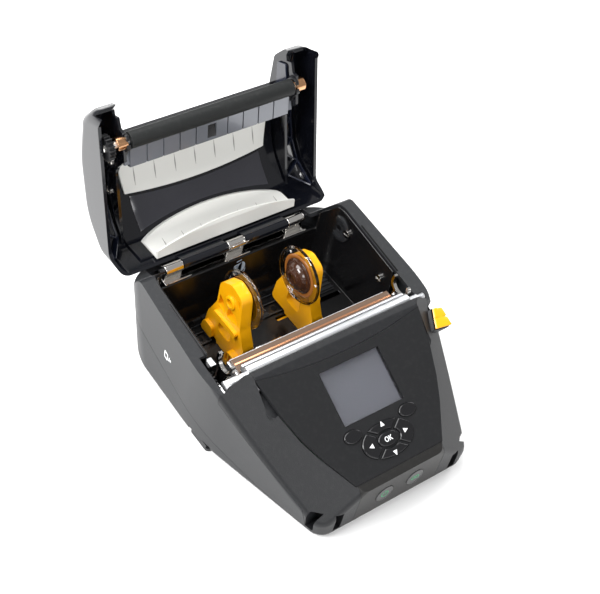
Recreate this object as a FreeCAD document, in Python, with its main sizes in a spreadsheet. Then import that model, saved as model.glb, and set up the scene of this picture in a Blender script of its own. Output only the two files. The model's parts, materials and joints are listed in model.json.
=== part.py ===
"""Portable label maker with a lid that opens, built as separate pieces.

Frame: X to the right, Y to the back, Z up, in millimetres. The origin is the middle of the base.
The lid is stored open. Lid pieces are drawn closed and then turned about the hinge.
"""

import FreeCAD, Part
import math
import os

import Sketcher
from FreeCAD import Placement, Rotation, Vector

doc = FreeCAD.newDocument("LabelMaker")

DIMENSIONS = {
    # casing
    "case_front": 93.0,
    "case_rear": 92.0,
    "case_half_width": 77.5,
    "wall": 2.4,
    "gap": 0.2,
    "rim_front_z": 57.0,
    "rim_rear_z": 66.0,
    "panel_middle_y": -60.2,
    "panel_middle_z": 46.2,
    "panel_slope": 26.0,
    "panel_thickness": 2.4,
    "seam_front_z": 3.2,
    "base_fillet": 6.0,
    # media compartment
    "bay_half_width": 66.0,
    "bay_front": 6.0,
    "bay_rear": 70.5,
    "bay_floor": 9.0,
    "tray_wall": 1.5,
    # lid and its hinge
    "hinge_y": 78.0,
    "hinge_z": 50.0,
    "hinge_pin_radius": 1.6,
    "knuckle_radius": 3.2,
    "lid_open_angle": 113.2,
    "lid_half_width": 75.0,
    "lid_skin": 2.0,
    # platen
    "platen_y": -1.7,
    "platen_z": 60.35,
    "platen_radius": 5.0,
    "platen_length": 112.0,
    "platen_shaft_radius": 2.0,
    "bushing_radius": 4.2,
    "running_gap": 0.05,
    # display and keys
    "window_width": 42.0,
    "window_height": 32.0,
    "key_proud": 0.9,
    "key_gap": 0.25,
    # guides
    "disc_radius": 18.5,
    "disc_y": 39.6,
    "disc_z": 49.2,
    "disc_x": 20.0,
    "disc_thickness": 1.2,
    "rack_module": 1.0,
    "pinion_teeth": 16,
    "pinion_y": 32.0,
    "rack_bottom": 3.4,
    "rack_height": 3.4,
    # drive gears
    "drive_module": 0.7,
    "platen_teeth": 20,
    "idler_teeth": 30,
    "motor_teeth": 14,
    "gear_x": -71.7,
    "gear_width": 3.6,
    "idler_y": -1.7,
    "idler_z": 41.1,
    "motor_y": -15.2,
}

sheet = doc.addObject("Spreadsheet::Sheet", "Dimensions")
for row, (alias, number) in enumerate(DIMENSIONS.items(), start=1):
    sheet.set(f"A{row}", alias)
    sheet.set(f"B{row}", str(number))
    sheet.setAlias(f"B{row}", alias)
doc.recompute()


def size(alias):
    """The number that the dimensions sheet holds under this name."""
    return float(sheet.get(alias))


def cell(alias):
    """The same name as an expression that a feature can be bound to."""
    return f"Dimensions.{alias}"


WALL = size("wall")
GAP = size("gap")
HINGE = Vector(0, size("hinge_y"), size("hinge_z"))
LID_OPEN = Placement(Vector(), Rotation(Vector(1, 0, 0), -size("lid_open_angle")), HINGE)
SLOPE = math.radians(size("panel_slope"))
PANEL_ORIGIN = Vector(0, size("panel_middle_y"), size("panel_middle_z"))
PANEL = Placement(PANEL_ORIGIN, Rotation(Vector(1, 0, 0), size("panel_slope")))
FAR = 300.0

pieces = []


# ---------------------------------------------------------------- helpers

def keep(obj, label, placement=None):
    """Give a finished piece its name and its place, and list it for export."""
    obj.Label = label
    if placement is not None:
        obj.Placement = placement
    pieces.append(obj)
    return obj


def feature(label, shape, placement=None):
    """A piece whose shape is worked out with Part's own functions."""
    obj = doc.addObject("Part::Feature", label)
    obj.Shape = shape
    return keep(obj, label, placement)


def rounded_face(corners, place):
    """A face bounded by straight runs, each corner (a, b, radius) turned as a tangent arc."""
    points = [Vector(a, b, 0) for a, b, _ in corners]
    runs = []
    for i, (point, (_, _, radius)) in enumerate(zip(points, corners)):
        before = (points[i - 1] - point).normalize()
        after = (points[(i + 1) % len(points)] - point).normalize()
        half = before.getAngle(after) / 2
        if radius <= 0:
            runs.append((point, None, point))
            continue
        towards = (before + after).normalize()
        centre = point + towards * (radius / math.sin(half))
        reach = radius / math.tan(half)
        runs.append((point + before * reach, centre - towards * radius, point + after * reach))
    edges = []
    for i, (start, middle, end) in enumerate(runs):
        if middle is not None:
            edges.append(Part.Arc(place(start), place(middle), place(end)).toShape())
        following = runs[(i + 1) % len(runs)][0]
        if end.distanceToPoint(following) > 1e-6:
            edges.append(Part.makeLine(place(end), place(following)))
    return Part.Face(Part.Wire(edges))


def across(corners, x_low, x_high):
    """A prism along X of an outline given in Y and Z."""
    face = rounded_face(corners, lambda p: Vector(x_low, p.x, p.y))
    return face.extrude(Vector(x_high - x_low, 0, 0))


def upright(corners, z_low, z_high):
    """A prism along Z of an outline given in X and Y."""
    face = rounded_face(corners, lambda p: Vector(p.x, p.y, z_low))
    return face.extrude(Vector(0, 0, z_high - z_low))


def box(x_low, x_high, y_low, y_high, z_low, z_high):
    """A block between two corners."""
    return Part.makeBox(x_high - x_low, y_high - y_low, z_high - z_low, Vector(x_low, y_low, z_low))


def rod(x_low, x_high, y, z, radius):
    """A round bar along X."""
    return Part.makeCylinder(radius, x_high - x_low, Vector(x_low, y, z), Vector(1, 0, 0))


def mirrored(shape):
    """The same shape on the other side of the middle plane."""
    return shape.mirror(Vector(), Vector(1, 0, 0))


def joined(shapes):
    """Several shapes as one, with leftover edges removed."""
    first, *others = shapes
    return first.multiFuse(others).removeSplitter() if others else first


def origin_plane(body, role):
    """One of a body's own three planes."""
    return next(item for item in body.Origin.OriginFeatures if item.Role == role)


def new_sketch(body, role):
    """An empty sketch on one of the body's own planes."""
    sketch = body.newObject("Sketcher::SketchObject", body.Name + "Sketch")
    sketch.AttachmentSupport = (origin_plane(body, role), [""])
    sketch.MapMode = "FlatFace"
    return sketch


def draw_rectangle(sketch, centre, width, height):
    """A rectangle whose width and height are constraints; each may be an expression or a number."""
    numbers = [float(doc_value(item)) for item in (width, height)]
    x, y = centre
    half_w, half_h = numbers[0] / 2, numbers[1] / 2
    corners = [Vector(x - half_w, y - half_h, 0), Vector(x + half_w, y - half_h, 0),
               Vector(x + half_w, y + half_h, 0), Vector(x - half_w, y + half_h, 0)]
    first = sketch.GeometryCount
    for i in range(4):
        sketch.addGeometry(Part.LineSegment(corners[i], corners[(i + 1) % 4]), False)
    for i in range(4):
        sketch.addConstraint(Sketcher.Constraint("Coincident", first + i, 2, first + (i + 1) % 4, 1))
    for i in (0, 2):
        sketch.addConstraint(Sketcher.Constraint("Horizontal", first + i))
        sketch.addConstraint(Sketcher.Constraint("Vertical", first + i + 1))
    wide = sketch.addConstraint(Sketcher.Constraint("DistanceX", first, 1, first, 2, numbers[0]))
    high = sketch.addConstraint(Sketcher.Constraint("DistanceY", first + 1, 1, first + 1, 2, numbers[1]))
    for index, item in ((wide, width), (high, height)):
        if isinstance(item, str):
            sketch.setExpression(f"Constraints[{index}]", item)
    sketch.addConstraint(Sketcher.Constraint("DistanceX", -1, 1, first, 1, x - half_w))
    sketch.addConstraint(Sketcher.Constraint("DistanceY", -1, 1, first, 1, y - half_h))


def doc_value(item):
    """The number behind a sheet expression of the form Dimensions.alias, or the number itself."""
    if isinstance(item, str):
        return size(item.split(".")[1])
    return item


def sketch_circle(sketch, centre, radius):
    """A circle with a radius constraint; returns the constraint's number."""
    index = sketch.addGeometry(Part.Circle(Vector(centre[0], centre[1], 0), Vector(0, 0, 1), radius), False)
    sketch.addConstraint(Sketcher.Constraint("DistanceX", -1, 1, index, 3, centre[0]))
    sketch.addConstraint(Sketcher.Constraint("DistanceY", -1, 1, index, 3, centre[1]))
    return sketch.addConstraint(Sketcher.Constraint("Radius", index, radius))


def draw_outline(sketch, edges):
    """Edges of a finished outline, copied in as sketch geometry."""
    for edge in edges:
        curve = edge.Curve
        if edge.isClosed():
            sketch.addGeometry(curve, False)
            continue
        trimmed = curve.trim(edge.FirstParameter, edge.LastParameter)
        if isinstance(curve, Part.Line):
            trimmed = Part.LineSegment(edge.valueAt(edge.FirstParameter), edge.valueAt(edge.LastParameter))
        sketch.addGeometry(trimmed, False)


def pad(body, sketch, length, offset=0.0):
    """Raise a sketch; the length may be a sheet expression."""
    sketch.AttachmentOffset = Placement(Vector(0, 0, offset), Rotation())
    solid = body.newObject("PartDesign::Pad", body.Name + "Pad")
    solid.Profile = sketch
    solid.Length = doc_value(length)
    if isinstance(length, str):
        solid.setExpression("Length", length)
    doc.recompute()
    return solid


def pocket(body, sketch, depth, offset=0.0):
    """Cut a sketch downwards from the given height."""
    sketch.AttachmentOffset = Placement(Vector(0, 0, offset), Rotation())
    before = body.Shape.Volume
    hollow = body.newObject("PartDesign::Pocket", body.Name + "Pocket")
    hollow.Profile = sketch
    hollow.Length = doc_value(depth)
    if isinstance(depth, str):
        hollow.setExpression("Length", depth)
    doc.recompute()
    if body.Shape.Volume > before - 1e-3:
        raise RuntimeError(f"{body.Name}: pocket removed nothing")
    return hollow


def new_body(name):
    return doc.addObject("PartDesign::Body", name)


def bound_box(label, low, sizes, placement=None):
    """A Part::Box; each size may be a sheet expression."""
    block = doc.addObject("Part::Box", label)
    for prop, item in zip(("Length", "Width", "Height"), sizes):
        setattr(block, prop, doc_value(item))
        if isinstance(item, str):
            block.setExpression(prop, item)
    where = Placement(Vector(*low), Rotation())
    return keep(block, label, placement.multiply(where) if placement else where)


# ---------------------------------------------------------------- casing envelope

SHOULDER_POINT = Vector(57.5, -21.0, 65.0)
SHOULDER_NORMAL = Vector(0.4999, -0.5325, 0.6820)
RIDGE_Y = -16.2
SHOULDER_FILLET = 5.0


def panel_height(y):
    """Height of the sloping panel's plane at a place along Y."""
    return size("panel_middle_z") + (y - size("panel_middle_y")) * math.tan(SLOPE)


def plan_wire(corners, z, inset):
    """A casing outline seen from above, mirrored about the middle, moved in by the inset."""
    right = corners
    left = [(-x, y, r) for x, y, r in reversed(corners)]
    face = rounded_face(right + left, lambda p: Vector(p.x, p.y, z))
    wire = face.OuterWire
    return wire.makeOffset2D(-inset) if inset else wire


def envelope(inset):
    """The whole casing as a solid, moved in (or, below zero, out) by the inset."""
    front = -size("case_front")
    rear = size("case_rear")
    half = size("case_half_width")
    low = plan_wire([(52, front, 10), (75, -5, 120), (73, rear - 6, 38)], inset, inset)
    high = plan_wire([(65, front, 12), (half + 1.8, -5, 120), (half - 3.2, rear, 22)], 75, inset)
    solid = Part.makeLoft([low, high], True, True)
    base = [edge for edge in solid.Edges if abs(edge.BoundBox.ZMax - inset) < 1e-4]
    solid = solid.makeFillet(max(size("base_fillet") - inset, 1.0), base)
    profile = [
        (front - 5, -5, 0), (front - 5, panel_height(front - 5), 0),
        (RIDGE_Y - 4, panel_height(RIDGE_Y - 4), 2),
        (RIDGE_Y, panel_height(RIDGE_Y - 4), 0), (RIDGE_Y, size("rim_front_z") - 0.4, 0),
        (size("hinge_y") - 12, size("rim_rear_z"), 5), (size("hinge_y") + 1, 48.5, 3),
        (rear - 1, 45, 5), (rear + 5, 30, 0), (rear + 5, -5, 0)]
    top = rounded_face(profile, lambda p: Vector(-FAR, p.x, p.y)).OuterWire
    if inset:
        top = top.makeOffset2D(-inset, 2 if inset < 0 else 0)
    solid = solid.common(Part.Face(top).extrude(Vector(2 * FAR, 0, 0)))
    corner = SHOULDER_POINT - SHOULDER_NORMAL * inset
    side = SHOULDER_NORMAL.cross(Vector(0, 0, 1)).normalize()
    up = SHOULDER_NORMAL.cross(side).normalize()
    wedge = Part.makePolygon([corner + side * a * FAR + up * b * FAR
                              for a, b in ((-1, -1), (1, -1), (1, 1), (-1, 1), (-1, -1))])
    wedge = Part.Face(wedge).extrude(SHOULDER_NORMAL * FAR)
    solid = solid.cut(wedge).cut(mirrored(wedge)).removeSplitter()
    return solid.makeFillet(SHOULDER_FILLET - inset, shoulder_edges(solid, corner))


def shoulder_edges(solid, corner):
    """The edges where the shoulder planes meet the flanks."""
    found = []
    for edge in solid.Edges:
        middle = edge.valueAt((edge.FirstParameter + edge.LastParameter) / 2)
        beside = Vector(abs(middle.x), middle.y, middle.z)
        if abs((beside - corner).dot(SHOULDER_NORMAL)) < 1e-3 and beside.x > 60 and middle.y < RIDGE_Y - 3:
            found.append(edge)
    return found


OUTER = envelope(0)
INNER = envelope(WALL)
SKIN = OUTER.cut(INNER)


def seam_prism(lift, top=-40):
    """Everything below the joint between the lower and upper casings."""
    z = size("seam_front_z") + lift
    return across([(-120, z, 0), (-80, z, 0), (-48, z + 3, 0), (10, z + 15, 0), (62, z + 28, 0),
                   (120, z + 40, 0), (120, top, 0), (-120, top, 0)], -FAR, FAR)


PANEL_EDGE = [(31, -31.2), (42, -10), (47.5, 3), (52.8, 20), (57.5, 43)]
PANEL_TOP_DIP = 37.5


def panel_outline(grow):
    """The sloping panel's outline on its own plane, straight-sided with a dipped upper edge."""
    right = [Vector(x + grow, v, 0) for x, v in PANEL_EDGE]
    right[0].y -= grow
    right[-1].y += grow
    left = [Vector(-p.x, p.y, 0) for p in reversed(right)]
    edges = []
    for run in (right, left):
        edges += [Part.makeLine(a, b) for a, b in zip(run, run[1:])]
    dip = Part.Arc(right[-1], Vector(0, PANEL_TOP_DIP + grow, 0), left[0]).toShape()
    edges.insert(len(right) - 1, dip)
    edges.append(Part.makeLine(left[-1], right[0]))
    return edges


def panel_prism(grow):
    """A prism through the casing around the sloping panel."""
    face = Part.Face(Part.Wire(panel_outline(grow)))
    prism = face.extrude(Vector(0, 0, 12))
    prism.translate(Vector(0, 0, -7))
    prism.Placement = PANEL.multiply(prism.Placement)
    return prism


def bumper_prism(grow):
    """Side view of the region that the front bumpers cover: the shoulders and the front corners."""
    low = size("seam_front_z") + GAP
    return across([(-110, low, 0), (-83 + grow, low, 0), (-80 + grow, 18 - grow, 4),
                   (RIDGE_Y + grow, 50.5 - grow, 0), (RIDGE_Y + grow, 90, 0), (-110, 90, 0)], -FAR, FAR)


STRIP_HALF = 30.0
TRAY_CORNER = 14.0
BUTTON_MIDDLE = Vector(75.2, -24.5, 55.8)
BUTTON_OUT = Vector(0.80, -0.25, 0.55).normalize()


def button_prism(grow, depth):
    """A block through the right shoulder whose sides run along the button's travel."""
    along = (Vector(0, 1, 0) - BUTTON_OUT * BUTTON_OUT.y).normalize()
    aside = along.cross(BUTTON_OUT)
    low = Vector(-5.2 - grow, -7.4 - grow, -depth)
    block = Part.makeBox(10.4 + 2 * grow, 14.8 + 2 * grow, depth + 10, low)
    block.Placement = Placement(BUTTON_MIDDLE, Rotation(aside, along, BUTTON_OUT, "ZXY"))
    return block


BUTTON_HOLE = button_prism(0.3, 9)
PORT_HINGE = Vector(64.36, -51.5, 12.8)
PORT_ALONG = Vector(0.238, 0.9713, 0).normalize()


def port_rod(radius, length):
    """A round bar along the axis that the port cover turns on."""
    return Part.makeCylinder(radius, length, PORT_HINGE - PORT_ALONG * (length / 2), PORT_ALONG)


PORT_HOLE = joined([box(52, 80, -64, -39, 12.5, 29), port_rod(1.2, 25.6)])
STRAP_TUNNEL = joined([box(39.5, 44.5, -100, -82.5, 6, 19), box(40, 80, -87.5, -82.5, 6, 19)])


# ---------------------------------------------------------------- casing pieces

def lower_case():
    """The belly of the casing, with the recesses for the battery cover, clip and base screws."""
    shell = SKIN.common(seam_prism(0))
    shell = shell.cut(upright(BATTERY_COVER, -1, WALL + 1))
    shell = shell.cut(upright(CLIP_SLOT, -1, 5.2))
    for x, y in SCREW_PLACES:
        shell = shell.cut(Part.makeCylinder(3.2, 20, Vector(x, y, -5)))
    post = Part.makeCylinder(1.5, 4.6, Vector(0, size("pinion_y"), WALL))
    post = post.fuse(Part.makeCylinder(3.0, 0.8, Vector(0, size("pinion_y"), WALL)))
    feature("lower_case", shell.fuse(post).removeSplitter())


def tray_plan(half, rear):
    """The compartment seen from above, with rounded rear corners."""
    radius = TRAY_CORNER + half - size("bay_half_width") - size("tray_wall")
    return [(-half, RIDGE_Y - 5, 0), (half, RIDGE_Y - 5, 0), (half, rear, radius), (-half, rear, radius)]


def upper_case():
    """The side walls, the rear wall and the rim around the compartment."""
    shell = SKIN.cut(seam_prism(GAP)).cut(bumper_prism(GAP))
    bay = size("bay_half_width") + size("tray_wall") + 0.1
    shell = shell.cut(upright(tray_plan(bay, 72.3), 20, 90))
    shell = shell.cut(box(-57.2, 57.2, 72, 100, 44.5, 90))
    shell = shell.cut(box(-bay - 5, -bay + 1, RIDGE_Y, 9, 40, 90))
    shell = shell.cut(BUTTON_HOLE).cut(PORT_HOLE)
    shell = shell.cut(box(-200, 200, -120, RIDGE_Y + GAP, 56, 90))
    feature("upper_case", shell.removeSplitter())


def bumpers():
    """Two front corner pieces that run up over the shoulders, each with a strap tunnel."""
    region = SKIN.common(bumper_prism(0))
    region = region.cut(panel_prism(GAP)).cut(trim_prism(GAP))
    region = region.cut(box(-STRIP_HALF - GAP, STRIP_HALF + GAP, -100, -80, 0, 45))
    half = region.common(box(0.5, 100, -120, 20, 0, 90))
    corner = box(37.5, 64, -95, -77, 3.4, 23).common(OUTER).common(bumper_prism(0))
    half = half.fuse(corner).cut(STRAP_TUNNEL)
    feature("bumper_right", largest(half.cut(BUTTON_HOLE).cut(PORT_HOLE).removeSplitter()))
    feature("bumper_left", mirrored(largest(half.removeSplitter())))


def trim_prism(grow):
    """Region of the textured strip between the panel and the tear bar."""
    upper = across([(-40, 90, 0), (-40, 52, 0), (RIDGE_Y + 1, 52, 0), (RIDGE_Y + 1, 90, 0)],
                   -57.5 - grow, 57.5 + grow)
    return upper.cut(panel_prism(0))


def trim_strip():
    """The crescent between the panel's dipped edge and the tear bar."""
    strip = SKIN.common(trim_prism(0)).cut(panel_prism(GAP))
    strip = strip.cut(box(-100, 100, -120, -22.5, 0, 53))
    solids = sorted(strip.Solids, key=lambda s: s.Volume)
    feature("trim_strip", solids[-1])


def control_strip():
    """The short upright face below the panel, with holes for its two buttons."""
    low = size("seam_front_z") + GAP
    strip = SKIN.common(box(-STRIP_HALF, STRIP_HALF, -100, -80, low, 60)).cut(panel_prism(GAP))
    strip = strip.cut(box(-100, 100, -86, 0, 0, 60))
    for x, z in STRIP_BUTTONS:
        strip = strip.cut(front_disc(x, z, STRIP_BUTTON_RADIUS + 0.25, -100, -80))
    feature("control_strip", strip.removeSplitter())


def front_disc(x, z, radius, y_low, y_high):
    """A round bar along Y."""
    return Part.makeCylinder(radius, y_high - y_low, Vector(x, y_low, z), Vector(0, 1, 0))


PAD_CENTRE = Vector(0, -16.0, 0)
PAD_OUTER = (17.6, 9.9)
PAD_INNER = (8.2, 5.2)
PAD_GAP = 1.5
KEY_DEPTH = 3.2
OVAL_KEYS = {
    "key_soft_left": ((-19.5, -6.6), 6.0, 3.7),
    "key_soft_right": ((19.5, -6.6), 6.0, 3.7),
    "key_enter": ((0.0, -16.0), 6.9, 4.1),
}
SECTOR_KEYS = {"key_up": Vector(0, 1, 0), "key_left": Vector(-1, 0, 0), "key_right": Vector(1, 0, 0),
               "key_down": Vector(0, -1, 0)}


def oval_face(centre, half_x, half_y):
    """A flat elliptical face."""
    middle = Vector(centre[0], centre[1], 0)
    curve = Part.Ellipse(middle + Vector(half_x, 0, 0), middle + Vector(0, half_y, 0), middle)
    return Part.Face(Part.Wire(curve.toShape()))


def key_face(name, grow):
    """A key's outline on the panel's plane, made larger by grow all round."""
    if name in OVAL_KEYS:
        centre, half_x, half_y = OVAL_KEYS[name]
        return oval_face(centre, half_x + grow, half_y + grow)
    ring_face = oval_face(PAD_CENTRE, PAD_OUTER[0] + grow, PAD_OUTER[1] + grow).cut(
        oval_face(PAD_CENTRE, PAD_INNER[0] - grow, PAD_INNER[1] - grow))
    for lean in (1, -1):
        bar = Part.makePlane(60, PAD_GAP - 2 * grow, Vector(-30, -(PAD_GAP - 2 * grow) / 2, 0))
        bar.rotate(Vector(), Vector(0, 0, 1), lean * 36)
        bar.translate(PAD_CENTRE)
        ring_face = ring_face.cut(bar)
    towards = SECTOR_KEYS[name]
    return max(ring_face.Faces, key=lambda face: (face.CenterOfMass - PAD_CENTRE).dot(towards))


def front_panel():
    """The sloping panel: a plate with a window opening and a hole for each key."""
    body = new_body("front_panel")
    plate = new_sketch(body, "XY_Plane")
    draw_outline(plate, panel_outline(0))
    pad(body, plate, cell("panel_thickness"), -size("panel_thickness"))
    opening = new_sketch(body, "XY_Plane")
    draw_rectangle(opening, (0, size("window_height") / 2), cell("window_width"), cell("window_height"))
    pocket(body, opening, 10, 1)
    holes = new_sketch(body, "XY_Plane")
    for name in [*OVAL_KEYS, *SECTOR_KEYS]:
        draw_outline(holes, key_face(name, size("key_gap")).OuterWire.Edges)
    pocket(body, holes, 10, 1)
    keep(body, "front_panel", PANEL)


def keys():
    """Seven keys, each a plug with a low crown, in the panel's own frame."""
    for name in [*OVAL_KEYS, *SECTOR_KEYS]:
        body = new_body(name)
        outline = new_sketch(body, "XY_Plane")
        draw_outline(outline, key_face(name, 0).OuterWire.Edges)
        plug = pad(body, outline, KEY_DEPTH + size("key_proud"), -KEY_DEPTH)
        edges = plug.Shape.Edges
        height = max(edge.BoundBox.ZMin for edge in edges)
        rim = [f"Edge{i + 1}" for i, edge in enumerate(edges) if edge.BoundBox.ZMin > height - 1e-4]
        crown = body.newObject("PartDesign::Chamfer", name + "Crown")
        crown.Base = (plug, rim)
        crown.Size = 0.5
        doc.recompute()
        keep(body, name, PANEL)


STRIP_BUTTONS = [(-10.9, 17.6), (11.1, 17.8)]
STRIP_BUTTON_RADIUS = 6.0


def strip_buttons():
    """The power and pairing buttons on the upright face."""
    for name, (x, z) in zip(("power_button", "pairing_button"), STRIP_BUTTONS):
        cap = doc.addObject("Part::Cylinder", name)
        cap.Radius = STRIP_BUTTON_RADIUS
        cap.Height = 3.2
        where = Placement(Vector(x, -90.1, z), Rotation(Vector(1, 0, 0), 90))
        keep(cap, name, where)


def display():
    """The display behind the panel and the clear window in the panel's opening."""
    clear = 0.15
    width = size("window_width") - 2 * clear
    height = size("window_height") - 2 * clear
    window = (-width / 2, clear, -3.3)
    bound_box("display_window", window, (width, height, 1.2), PANEL)
    bound_box("display_module", (-24, -1, -7.5), (48, 34, 4.1), PANEL)
    bound_box("keypad_board", (-27, -29, -6.0), (54, 26, 1.4), PANEL)


def release_button():
    """The sliding button on the right shoulder, cut from the casing's own outer form."""
    outer = OUTER.common(button_prism(0, 5.5))
    groove = upright([(73.3, -29, 1.1), (75.6, -29, 1.1), (75.6, -20, 1.1), (73.3, -20, 1.1)], 40, 90)
    outer = outer.cut(groove.cut(envelope(0.5)))
    feature("release_button", outer.removeSplitter())


def port_cover():
    """The flap over the sockets on the right flank."""
    clear = 0.3
    flap = SKIN.common(box(52, 80, -64 + 2.6 * clear, -39 - clear, 12.5 + clear, 29 - clear))
    feature("port_cover", flap.fuse(port_rod(0.6, 20)).removeSplitter())


def tear_bar():
    """The steel bar that labels are torn against, toothed on its rear edge, with a low lug each end."""
    profile = [(-16.0, 57.4, 0), (-16.0, 63.0, 2.5), (-12.5, 65.2, 1.5), (-9.0, 63.4, 0),
               (-7.3, 63.9, 0), (-8.6, 61.8, 0), (-10.5, 57.4, 0)]
    bar = across(profile, -57.2, 57.2)
    lug = across([(-15.2, 57.4, 0), (-15.2, 60.4, 1.5), (-11.6, 60.4, 1.5), (-11.6, 57.4, 0)], 57.2, 71.2)
    teeth = []
    for i in range(-55, 56):
        x = i * 1.0
        teeth.append(across([(-8.2, 60, 0), (-8.2, 66, 0), (-6, 66, 0), (-6, 60, 0)], x + 0.25, x + 0.75))
    bar = bar.cut(Part.makeCompound(teeth))
    feature("tear_bar", joined([bar, lug, mirrored(lug)]))


# ---------------------------------------------------------------- compartment

def media_tray():
    """The open tub that the roll lies in, with a slot for each guide's neck."""
    half = size("bay_half_width")
    wall = size("tray_wall")
    floor = size("bay_floor")
    front, rear = size("bay_front"), size("bay_rear")
    outer = across([(front - wall, floor - wall, 2), (front - wall, 40, 0), (front + 2, 40, 0),
                    (front + 4, 58.6, 0), (rear - 6.5, 64.6, 2), (rear + wall, 56.0, 0),
                    (rear + wall, floor + 10, 8), (rear - 4, floor - wall, 4)], -half - wall, half + wall)
    hollow = across([(front, floor, 2), (front, 80, 0), (rear, 80, 0), (rear, floor + 10, 7),
                     (rear - 4.5, floor, 3)], -half, half)
    outer = outer.common(upright(tray_plan(half + wall, rear + wall), 0, 90))
    hollow = hollow.common(upright(tray_plan(half, rear), 0, 90))
    tub = outer.cut(hollow)
    for low, high, y in ((-63.5, -14.5, NECK_Y[0]), (14.5, 63.5, NECK_Y[1])):
        tub = tub.cut(box(low, high, y - 1.5, y + 1.5, 0, floor + 2))
    tub = tub.cut(box(-57, 57, rear - 1, rear + 5, 44.3, 70))
    feature("media_tray", tub.removeSplitter())


def floor_pads():
    """Ribbed pads on the compartment floor."""
    pads = []
    floor = size("bay_floor")
    for x_low, x_high in ((-62, -37), (-12, 12), (37, 62)):
        base = box(x_low, x_high, 46.5, 61, floor, floor + 0.8)
        ribs = [box(x_low, x_high, y, y + 1.2, floor + 0.8, floor + 1.8)
                for y in (47.5, 50.5, 53.5, 56.5, 59)]
        pads.append(joined([base] + ribs))
    feature("floor_pads", Part.makeCompound(pads))


def wall_strip():
    """The pale guide strip on the compartment's left wall, with a sensor notch."""
    half = size("bay_half_width")
    strip = across([(16, 50, 1), (57.5, 55.6, 1), (57.5, 59.6, 1), (16, 54, 1)], -half, -half + 1.0)
    strip = strip.cut(across([(36, 50, 0), (42, 50, 0), (42, 62, 0), (36, 62, 0)], -half - 1, -half + 2))
    feature("wall_strip", Part.makeCompound(strip.Solids))


def gap_sensor():
    """The small sensor that looks at the label web, in front of the roll."""
    body = new_body("gap_sensor")
    base = new_sketch(body, "XY_Plane")
    draw_rectangle(base, (0, 11.5), 14, 6)
    pad(body, base, 3.0, size("bay_floor"))
    window = new_sketch(body, "XY_Plane")
    draw_rectangle(window, (0, 11.5), 6, 2)
    pocket(body, window, 1.0, size("bay_floor") + 3.0)
    keep(body, "gap_sensor")


# ---------------------------------------------------------------- print mechanism

def printhead():
    """The heated strip on its heat sink, the bracket under it and the springs that lift it."""
    bound_box("printhead", (-56, -7, 53.1), (cell("platen_length"), 9.4, 2.0))
    sink = joined([box(-55, 55, -8, 4, 49, 53)]
                  + [box(-55, 55, y, y + 1.2, 45.2, 49) for y in (-7.6, -4.6, -1.6, 1.4)])
    feature("heat_sink", sink)
    base = box(-57, 57, -9, 5, 43, 45)
    ears = [box(x, x + 1.6, -9, 3.5, 45, 52.8) for x in (-57, 55.4)]
    springs = [ring(Vector(x, -4.2, 34), Vector(0, 0, 1), 2.8, 1.9, 8.9) for x in (-36, -12, 12, 36)]
    feature("head_springs", Part.makeCompound(springs))
    shelf = [box(-42, 57, -9, -0.2, 32.4, 34), box(-42, 57, -10.6, -9, 20, 45)]
    feature("printhead_bracket", joined([base] + ears + shelf))


def ring(base, direction, outer, inner, length):
    """A tube."""
    return Part.makeCylinder(outer, length, base, direction).cut(
        Part.makeCylinder(inner, length, base, direction))


LATCH_Y, LATCH_Z = 2.3, 36.6


def latch_hooks():
    """The latch shaft with two open hooks that the platen's bushings drop into."""
    y, z = size("platen_y"), size("platen_z")
    inner = size("bushing_radius") + 1.3
    outer = inner + 1.9
    hooks = []
    for x in (61.2, -63.4):
        loop = Part.makeCylinder(outer, 2.2, Vector(x, y, z), Vector(1, 0, 0))
        mouth = across([(y - inner, z, 0), (y + inner, z, 0), (y + inner - 1.5, z + 12, 0),
                        (y - inner + 1.5, z + 12, 0)], x - 1, x + 4)
        loop = loop.cut(Part.makeCylinder(inner, 4.2, Vector(x - 1, y, z), Vector(1, 0, 0))).cut(mouth)
        loop = loop.cut(box(x - 1, x + 4, y - 10, y + 10, z + 3.4, z + 12))
        stem = across([(LATCH_Y - 2.2, LATCH_Z, 1), (LATCH_Y + 1.6, LATCH_Z, 1), (y + 3.5, z - outer + 2, 0),
                       (y - 3.5, z - outer + 2, 0)], x, x + 2.2)
        stem = stem.cut(Part.makeCylinder(inner, 4.2, Vector(x - 1, y, z), Vector(1, 0, 0)))
        hooks += [loop, stem]
    shaft = rod(-64.5, 64.5, LATCH_Y, LATCH_Z, 1.8)
    feature("latch_hooks", joined([shaft] + hooks))


def electronics():
    """The boards, motor, battery and sockets inside the casing."""
    bound_box("main_board", (-38, -72, 26.0), (86, 44, 1.6))
    motor = joined([rod(-63.8, -44, size("motor_y"), MOTOR_Z, 10.5),
                    rod(-65.8, -63.8, size("motor_y"), MOTOR_Z, 2.5),
                    rod(size("gear_x") + 1.2, -63.8, size("motor_y"), MOTOR_Z, 1.0)])
    feature("stepper_motor", motor)
    battery = new_body("battery_pack")
    outline = new_sketch(battery, "XY_Plane")
    draw_rectangle(outline, (0, -47), 62, 52)
    pad(battery, outline, 21, WALL + 0.3)
    keep(battery, "battery_pack")
    socket = box(50, 58, -59, -49.6, 16, 20.4).cut(box(51, 66, -58.2, -50.4, 16.8, 19.6))
    jack = box(50, 60.5, -47, -41, 15.6, 22.4).cut(
        Part.makeCylinder(2.4, 12, Vector(53, -44, 19), Vector(1, 0, 0)))
    pin = Part.makeCylinder(0.8, 6.5, Vector(53, -44, 19), Vector(1, 0, 0))
    carrier = box(48, 50, -60, -40, 12, 24)
    feature("port_sockets", joined([carrier, socket, jack, pin]))


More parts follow.
